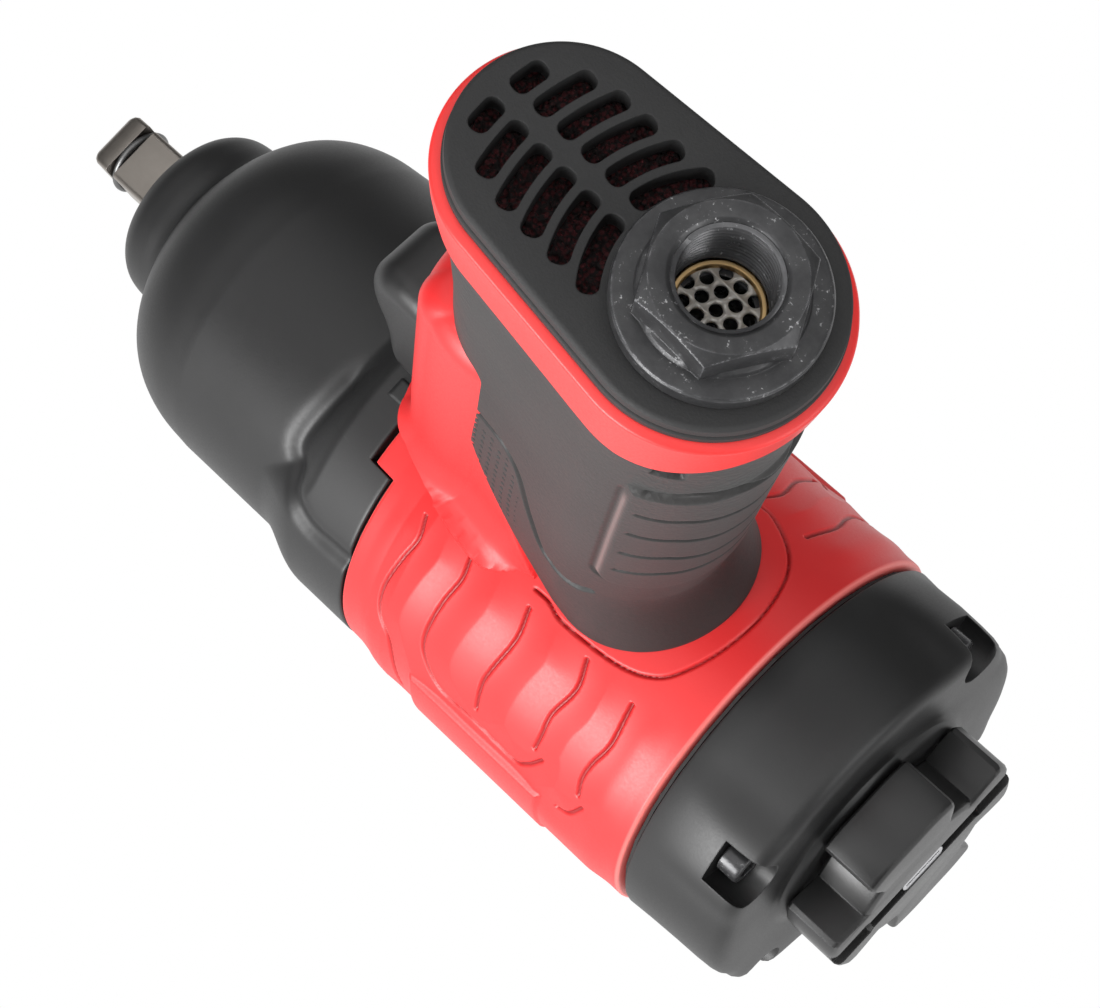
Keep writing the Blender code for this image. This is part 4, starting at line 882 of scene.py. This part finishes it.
def slot_outline(radius, first, last, half=1.65, corner=1.4):
    """An arc-shaped slot with rounded corners, centred on the inlet's axis."""
    first, last = first + corner / radius, last - corner / radius
    r = radius + half
    outline = [(r * math.cos(a), r * math.sin(a)) for a in np.linspace(first, last, 14)]
    for end, sign in ((last, 1), (first, -1)):
        for quarter, side in enumerate((sign, -sign)):
            r = radius + side * (half - corner)
            x, y = r * math.cos(end), r * math.sin(end)
            for step in np.linspace(0, 1, 6):
                turn = end + math.pi / 2 * (quarter + step) + (0 if sign > 0 else math.pi)
                outline.append((x + corner * math.cos(turn), y + corner * math.sin(turn)))
        if sign > 0:
            r = radius - half
            outline += [(r * math.cos(a), r * math.sin(a)) for a in np.linspace(last, first, 14)]
    return outline


SLOT_REACH = (12.2, 12.2, 12.2, 12.0, 10.8, 7.0)


# The plate's rim as (height, how far in from its outline).
PLATE_RIM = (
    (0.0, 1.1), (0.03, 0.9), (0.15, 0.6), (0.45, 0.32), (1.9, 0.2), (2.05, 0.3),
    (2.15, 0.6), (2.5, 0.6), (2.6, 0.25), (2.8, 0.0), (4.0, 0.0),
)


def make_plate():
    """The black plate under the handle with its exhaust slots."""
    rows = []
    for h, inset in PLATE_RIM:
        u, v = hull((1.3, 19.4 - inset, 29.3, 16.8 - inset), (70, 40, 90))[:2]
        rows.append(from_handle(u, v, np.full(len(u), h)))
    plate = outward(grid("plate_skin", np.array(rows), ends=True, smooth_angle=30))
    cut(plate, prism("plate_hole", circle(11.1, 96), -1, 5, place=in_handle))
    for row, reach in enumerate(SLOT_REACH):
        radius = 17.7 + 4.6 * row
        outline = np.array(slot_outline(radius, math.asin(1.2 / radius), math.asin(reach / radius)))
        for side in (1, -1):
            cut(plate, prism("plate_slot", outline * (1, side), -1, 5, place=in_handle))
    sharpen(plate, 30)
    give(plate, "housing", "base_black", "base_plate")


def make_foam():
    """Coarse red filter foam seen through the slots."""
    u, v = np.meshgrid(np.linspace(9.5, 46.5, 230), np.linspace(-15.2, 15.2, 190))
    middle = np.clip(u, 21.0, 31.0)
    limit = 15.2 - 0.05 * (middle - 21.0)
    away = np.hypot(u - middle, v)
    pull = np.minimum(1, limit / np.maximum(away, 1e-6))
    u, v = middle + (u - middle) * pull, v * pull
    lumps = 0.55 * ripple(u, v, 0.9, 3) + 0.5 * ripple(u, v, 0.45, 8) + 0.4 * ripple(u, v, 2.2, 4)
    foam = grid("foam_skin", from_handle(u, v, 5.0 + 0.75 * lumps), wrap=False, flip=True, smooth_angle=0)
    give(foam, "housing", "foam_red", "exhaust_foam")


def make_inlet():
    """The hexagon bushing with its flange, the thread in it and the well behind that."""
    angles = np.linspace(0, 2 * math.pi, 361)[:-1]
    half_flats = 11.0
    across = half_flats / np.cos(angles % (math.pi / 3) - math.pi / 6)
    chamfer = [(-9.9, 10.75), (-9.3, 11.6), (-8.2, 13.4), (-3.0, 13.6)]
    flange = [(-9.9, 0.0), (-4.65, 0.0), (-4.6, 11.3), (-4.35, 11.7), (-3.8, 12.0), (-3.0, 12.0)]
    bore = [(1.0, 7.7), (-9.2, 7.7), (-9.75, 8.2), (-9.9, 8.5)]
    rows = [(h, np.full(len(angles), r)) for h, r in bore]
    for h in np.concatenate([[-9.9], np.linspace(-9.85, -8.2, 12), [-7.0, -5.5, -4.65, -4.6, -4.35, -3.8]]):
        rows.append((h, np.maximum(np.minimum(across, read(chamfer, h)), read(flange, h))))
    rim = [(-3.75, 14.5), (-3.6, 14.9), (-3.2, 15.15), (-0.8, 15.2)]
    rim += [(-0.3, 15.0), (-0.25, 10.5), (1.0, 10.4), (1.0, 7.7)]
    rows += [(h, np.full(len(angles), r)) for h, r in rim]
    points = [from_handle(r * np.cos(angles), r * np.sin(angles), np.full(len(angles), h)) for h, r in rows]
    body = outward(grid("inlet_skin", np.array(points), smooth_angle=28))
    give(body, "housing", "inlet_steel", "inlet_bushing")
    depth = np.linspace(0, 1, 9)[:-1]
    pitch = 1.1
    rows = []
    for turn in np.linspace(0, 13.2, 13 * 72):
        angle = 2 * math.pi * turn
        ring = []
        for share in depth:
            h = -9.4 + pitch * (turn + share - 0.5)
            crest = 6.95 + 0.75 * abs(2 * share - 1)
            ring.append((crest * math.cos(angle), crest * math.sin(angle), min(max(h, -9.35), 4.4)))
        rows.append(ring)
    helix = in_handle(np.array(rows))
    thread = grid("inlet_thread", helix, wrap=False, flip=True, smooth_angle=25)
    give(thread, "housing", "inlet_steel", look="thread")
    well = [(1.4, 7.75), (3.0, 7.4), (3.1, 6.9), (4.6, 6.85), (4.6, 5.6), (24.0, 5.4), (24.0, 0.1)]
    give(lathe("inlet_well", well, "Z", 96, place=in_handle), "housing", "inlet_steel", look="thread")


def make_screen():
    """Bright perforated disc held by its brass ring."""
    disc = prism("screen_skin", circle(6.85, 96), 3.2, 3.9, place=in_handle)
    spacing = 2.75
    for row in range(-2, 3):
        for column in range(-2, 3):
            a = (column + 0.5 * (row % 2)) * spacing
            b = row * spacing * math.sin(math.radians(60))
            if math.hypot(a, b) > 5.6:
                continue
            cut(disc, prism("screen_hole", circle(1.05, 20, (a, b)), 2.0, 5.0, place=in_handle))
    give(disc, "housing", "screen_bright", "inlet_screen")
    profile = [
        (1.9, 5.95), (1.75, 6.1), (1.7, 6.6), (1.9, 6.9),
        (2.9, 6.9), (2.9, 5.9), (2.2, 5.85), (1.9, 5.95),
    ]
    ring = lathe("screen_ring_skin", profile, "Z", 96, place=in_handle)
    give(ring, "housing", "bronze", "screen_ring")


# Trigger and drive.


TRIGGER_FRONT = (
    (46.0, 84.5), (49.0, 84.6), (52.5, 85.2), (56.2, 86.9), (58.5, 90.2),
    (59.0, 94.0), (58.1, 98.5), (56.3, 103.0), (54.9, 108.0), (54.3, 113.0),
    (53.6, 116.8), (51.8, 119.3), (49.0, 120.2), (46.0, 120.3),
)


def make_trigger():
    """The trigger, rounded over both sides of its front."""
    half, rounding = 8.6, 4.5
    line = curve(TRIGGER_FRONT, 6)
    outline = np.vstack([line, [(37.4, 120.2), (37.4, 84.4)]])
    step = np.gradient(line, axis=0)
    normal = np.stack([step[:, 1], -step[:, 0]], -1)
    normal /= np.linalg.norm(normal, axis=1)[:, None]
    if normal[len(normal) // 2, 0] < 0:
        normal = -normal
    side = -half + rounding * (1 - np.cos(np.linspace(0, 1, 14) * math.pi / 2))
    rows = []
    for v in np.concatenate([side, [-2.0, 2.0], -side[::-1]]):
        over = max(abs(v) - (half - rounding), 0)
        inset = rounding - math.sqrt(max(rounding**2 - over**2, 0))
        ring = outline.copy()
        ring[: len(line)] -= inset * normal
        rows.append(from_handle(ring[:, 0], np.full(len(ring), v), ring[:, 1]))
    skin = outward(grid("trigger_skin", np.array(rows), ends=True, smooth_angle=45))
    give(skin, "trigger_unit", "trigger_black", "trigger")


def rounded_square(half, corner, per=8):
    """A square outline with rounded corners."""
    points = []
    for i, centre in enumerate(((1, 1), (-1, 1), (-1, -1), (1, -1))):
        for a in np.radians(np.linspace(i * 90, i * 90 + 90, per)):
            points.append((half - corner) * np.array(centre) + corner * np.array([math.cos(a), math.sin(a)]))
    return np.array(points)


# The square drive as (x, how far in from its flats). None is in the ring's groove.
DRIVE_PROFILE = (
    (0.0, 3.2), (0.0, 1.6), (-0.35, 0.9), (-1.0, 0.35), (-1.9, 0.0),
    (-4.9, 0.0), (-5.0, None), (-6.9, None), (-7.0, 0.0), (-24.0, 0.0),
)


def make_anvil():
    """The square drive with its chamfer, the groove for its ring and the round shank behind."""
    half_drive = 6.35
    rows = []
    for x, inset in DRIVE_PROFILE:
        grooved = inset is None
        outline = rounded_square(half_drive - (0 if grooved else inset), 1.1)
        if grooved:
            radius = np.linalg.norm(outline, axis=1, keepdims=True)
            outline = outline * np.minimum(1, 4.9 / radius)
        rows.append(np.concatenate([np.full((len(outline), 1), x), outline], 1))
    points = np.array(rows)
    points[..., 1], points[..., 2] = turned(points[..., 1], points[..., 2], DRIVE_TURN)
    skin = outward(grid("anvil_skin", points, ends=True, smooth_angle=40))
    shank = [(-17.6, 0.0), (-18.0, 7.0), (-18.5, 8.0), (-20.2, 9.1), (-40.0, 9.2), (-90.0, 9.2), (-90.0, 0.0)]
    cut(skin, outward(lathe("anvil_shank", shank, "X", 96)), "UNION")
    sharpen(skin, 35)
    give(skin, "drive", "anvil_steel", "anvil")
    wire = [(-5.95 + 0.75 * math.cos(a), 6.55 + 0.75 * math.sin(a)) for a in np.linspace(0, 2 * math.pi, 17)]
    ring = lathe("socket_ring_skin", wire, "X", 72, smooth_angle=0)
    give(ring, "drive", "spring_ring", "socket_ring")


# Rear cap, bolts and regulator knob.


CAP_PROFILE = (
    (-186.6, 39.4), (-186.75, 39.85), (-187.2, 40.0), (-192.0, 39.95), (-198.0, 39.8),
    (-203.0, 39.6), (-206.0, 39.35), (-207.3, 39.0), (-208.2, 38.3), (-208.7, 37.2),
    (-208.85, 35.6), (-208.9, 30.0), (-208.5, 25.6), (-208.6, 24.4), (-208.9, 23.6),
    (-209.6, 23.0), (-210.0, 22.4), (-210.1, 21.8), (-210.1, 19.0), (-209.7, 18.4),
    (-209.6, 8.2), (-209.2, 7.8), (-203.0, 7.7), (-203.0, 20.0), (-196.0, 20.0),
    (-196.0, 35.0), (-186.7, 36.0),
)


def make_cap():
    """The rear cap, a little proud over each bolt and open in a pocket behind it."""
    phi = np.linspace(0, 360, 361)[:-1]
    corner = np.minimum.reduce([np.abs((phi - a + 180) % 360 - 180) for a in BOLT_ANGLES])
    ear = np.exp(-((corner / 15.0) ** 4))
    rows = []
    for x, r in CAP_PROFILE:
        amount = min(max((-187.5 - x) / 7.0, 0.0), 1.0) if r > 34.0 else 0.0
        rows.append(spindle(np.full(len(phi), x), phi, r + amount * (1.5 * ear - 0.5 * (1 - ear))))
    solid = outward(grid("cap_skin", np.array(rows + rows[:1]), smooth_angle=30))
    holes = (("cap_pocket", 38.6, 5.2, -216.0, -200.5), ("cap_hole", BOLT_CIRCLE, 2.1, -202.0, -190.0))
    for angle in np.radians(BOLT_ANGLES):
        for name, reach, radius, low, high in holes:
            centre = (reach * math.sin(angle), -reach * math.cos(angle))
            cut(solid, prism(name, circle(radius, 72, centre), low, high, "X"))
    sharpen(solid, 28)
    give(solid, "housing", "black_cap", "rear_cap")


def make_bolts():
    """Socket-head bolts that run through the cap and the housing."""
    key = 1.6 / math.cos(math.radians(30))
    head = [
        (-200.8, 0.0), (-200.8, 3.1), (-201.0, 3.3), (-204.5, 3.3),
        (-204.95, 3.1), (-205.1, 2.7), (-205.1, 0.0),
    ]
    for i, angle in enumerate(np.radians(BOLT_ANGLES), 1):
        centre = (BOLT_CIRCLE * math.sin(angle), -BOLT_CIRCLE * math.cos(angle))
        bolt = outward(lathe("bolt_head", head, "X", 48))
        cut(bolt, prism("bolt_key", circle(key, 6), -206.5, -202.8, "X"))
        stem = [(-201.2, 0.0), (-201.2, 1.8), (-98.6, 1.8), (-98.6, 0.0)]
        cut(bolt, outward(lathe("bolt_stem", stem, "X", 24)), "UNION")
        bolt.data.transform(Matrix.Translation(Vector((0, *centre)) * MM))
        sharpen(bolt, 30)
        bolt.name = f"case_bolt_skin_{i}"
        give(bolt, "housing", "black_bolt", f"case_bolt_{i}")


def knob_outline(grow=0.0):
    """Four lobes with hollowed outer faces and round notches between."""
    outline = []
    for i in range(4):
        for step in np.linspace(-45, 45, 46)[:-1]:
            lobe = abs(step)
            radius = KNOB_RADIUS - 0.9 * math.exp(-((lobe / 13.0) ** 2))
            radius -= 7.4 * float(smooth(25.5, 33.0, lobe))
            angle = math.radians(KNOB_TURN + 90 * i + step)
            outline.append(((radius + grow) * math.sin(angle), -(radius + grow) * math.cos(angle)))
    return np.array(outline)


def make_knob():
    """The regulator knob, with the slot across its face."""
    node_low, node_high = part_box("regulator_knob")
    rear, front = node_low.x / MM, node_high.x / MM
    edges = [(rear, 1.6), (rear + 0.12, 0.9), (rear + 0.5, 0.3), (rear + 1.1, 0.0)]
    edges += [(front - 0.5, 0.0), (front - 0.1, 0.4)]
    rows = []
    for x, inset in edges:
        outline = knob_outline(-inset)
        rows.append(np.concatenate([np.full((len(outline), 1), x), outline], 1))
    knob = outward(grid("knob_skin", np.array(rows), ends=True, smooth_angle=30))
    end = [(-30.0, -4.2), (-14.5, -4.2), (-13.5, -3.2), (13.5, -3.2), (14.5, -4.2), (30.0, -4.2)]
    slot = [turned(a, b, math.radians(KNOB_TURN)) for a, b in end + [(-a, -b) for a, b in end]]
    cut(knob, prism("knob_slot", slot, rear - 2, rear + 1.5, "X"))
    sharpen(knob, 28)
    give(knob, "regulator", "knob_black", "regulator_knob")


def dress_frame():
    """Gives each CAD node that stays in sight its slot's look."""
    for entry in frame["record"]["subparts"]:
        node = frame["nodes"][entry["node"]]
        if node.hide_render:
            continue
        node.data.materials.clear()
        node.data.materials.append(LOOKS[entry["material_slot"]])


# Studio.


def make_camera():
    """The camera, and the directions right, up and back in its view."""
    data = bpy.data.cameras.new("camera")
    data.sensor_width = 36.0
    data.lens = 89.80
    data.clip_start = 0.01
    camera = bpy.data.objects.new("camera", data)
    right = Vector((-0.6979, 0.7119, 0.0799))
    up = Vector((0.6266, 0.6608, -0.4135))
    back = Vector((-0.3471, -0.2384, -0.9070))
    turn = Matrix((right, up, back)).transposed().to_4x4()
    camera.matrix_world = Matrix.Translation((-0.304788, -0.121197, -0.476530)) @ turn
    bpy.context.scene.collection.objects.link(camera)
    bpy.context.scene.camera = camera
    return right, up, back


def area_light(name, direction, distance_m, size, power, aim):
    """A rectangular light that faces the aim."""
    data = bpy.data.lights.new(name, "AREA")
    data.shape = "RECTANGLE"
    data.size, data.size_y = size
    data.energy = power
    light = bpy.data.objects.new(name, data)
    direction = Vector(direction).normalized()
    light.location = aim + direction * distance_m
    light.rotation_euler = direction.to_track_quat("Z", "Y").to_euler()
    bpy.context.scene.collection.objects.link(light)


def make_studio():
    """Camera, soft lights, a sky that is brighter above, and a pale floor."""
    right, up, back = make_camera()
    aim = Vector((-0.11, 0.0, -0.03))
    area_light("key", -0.75 * right - 0.6 * up + 0.5 * back, 0.75, (0.40, 0.40), 9.0, aim)
    area_light("fill", 0.8 * right - 0.35 * up + 0.75 * back, 0.9, (0.45, 0.45), 2.6, aim)
    area_light("top", -0.1 * right + 0.9 * up + 0.6 * back, 0.9, (0.6, 0.3), 3.0, aim)
    world = bpy.data.worlds.new("studio")
    world.use_nodes = True
    tree = world.node_tree
    direction = tree.nodes.new("ShaderNodeTexCoord").outputs["Generated"]
    height = tree.nodes.new("ShaderNodeSeparateXYZ")
    tree.links.new(direction, height.inputs[0])
    spread = tree.nodes.new("ShaderNodeMapRange")
    spread.interpolation_type = "SMOOTHSTEP"
    for socket, number in zip(RANGE_SOCKETS, (-0.15, 0.45, 0.14, 1.0)):
        spread.inputs[socket].default_value = number
    tree.links.new(height.outputs["Z"], spread.inputs["Value"])
    background = tree.nodes["Background"]
    background.inputs["Color"].default_value = (1.0, 1.0, 1.0, 1.0)
    tree.links.new(spread.outputs["Result"], background.inputs["Strength"])
    bpy.context.scene.world = world
    mesh = bpy.data.meshes.new("floor")
    ring = [(x, y, -0.62) for x, y in circle(0.55, 96, (-0.11, 0.0))]
    mesh.from_pydata(ring, [], [tuple(range(96))])
    floor = bpy.data.objects.new("floor", mesh)
    look = Look("floor_paint", (0.86, 0.86, 0.86), 0.7)
    look.paint((0.8, 0.8, 0.8), look.band(look.noise(3, 3.0), 0.4, 0.7, 0.0, 0.3))
    mesh.materials.append(look.done())
    bpy.context.scene.collection.objects.link(floor)
    bpy.context.scene.view_settings.view_transform = "Standard"


def main():
    make_case()
    make_barrel()
    make_neck()
    make_band()
    make_grip()
    make_plate()
    make_foam()
    make_inlet()
    make_screen()
    make_trigger()
    make_anvil()
    make_cap()
    make_bolts()
    make_knob()
    dress_frame()
    make_studio()


main()
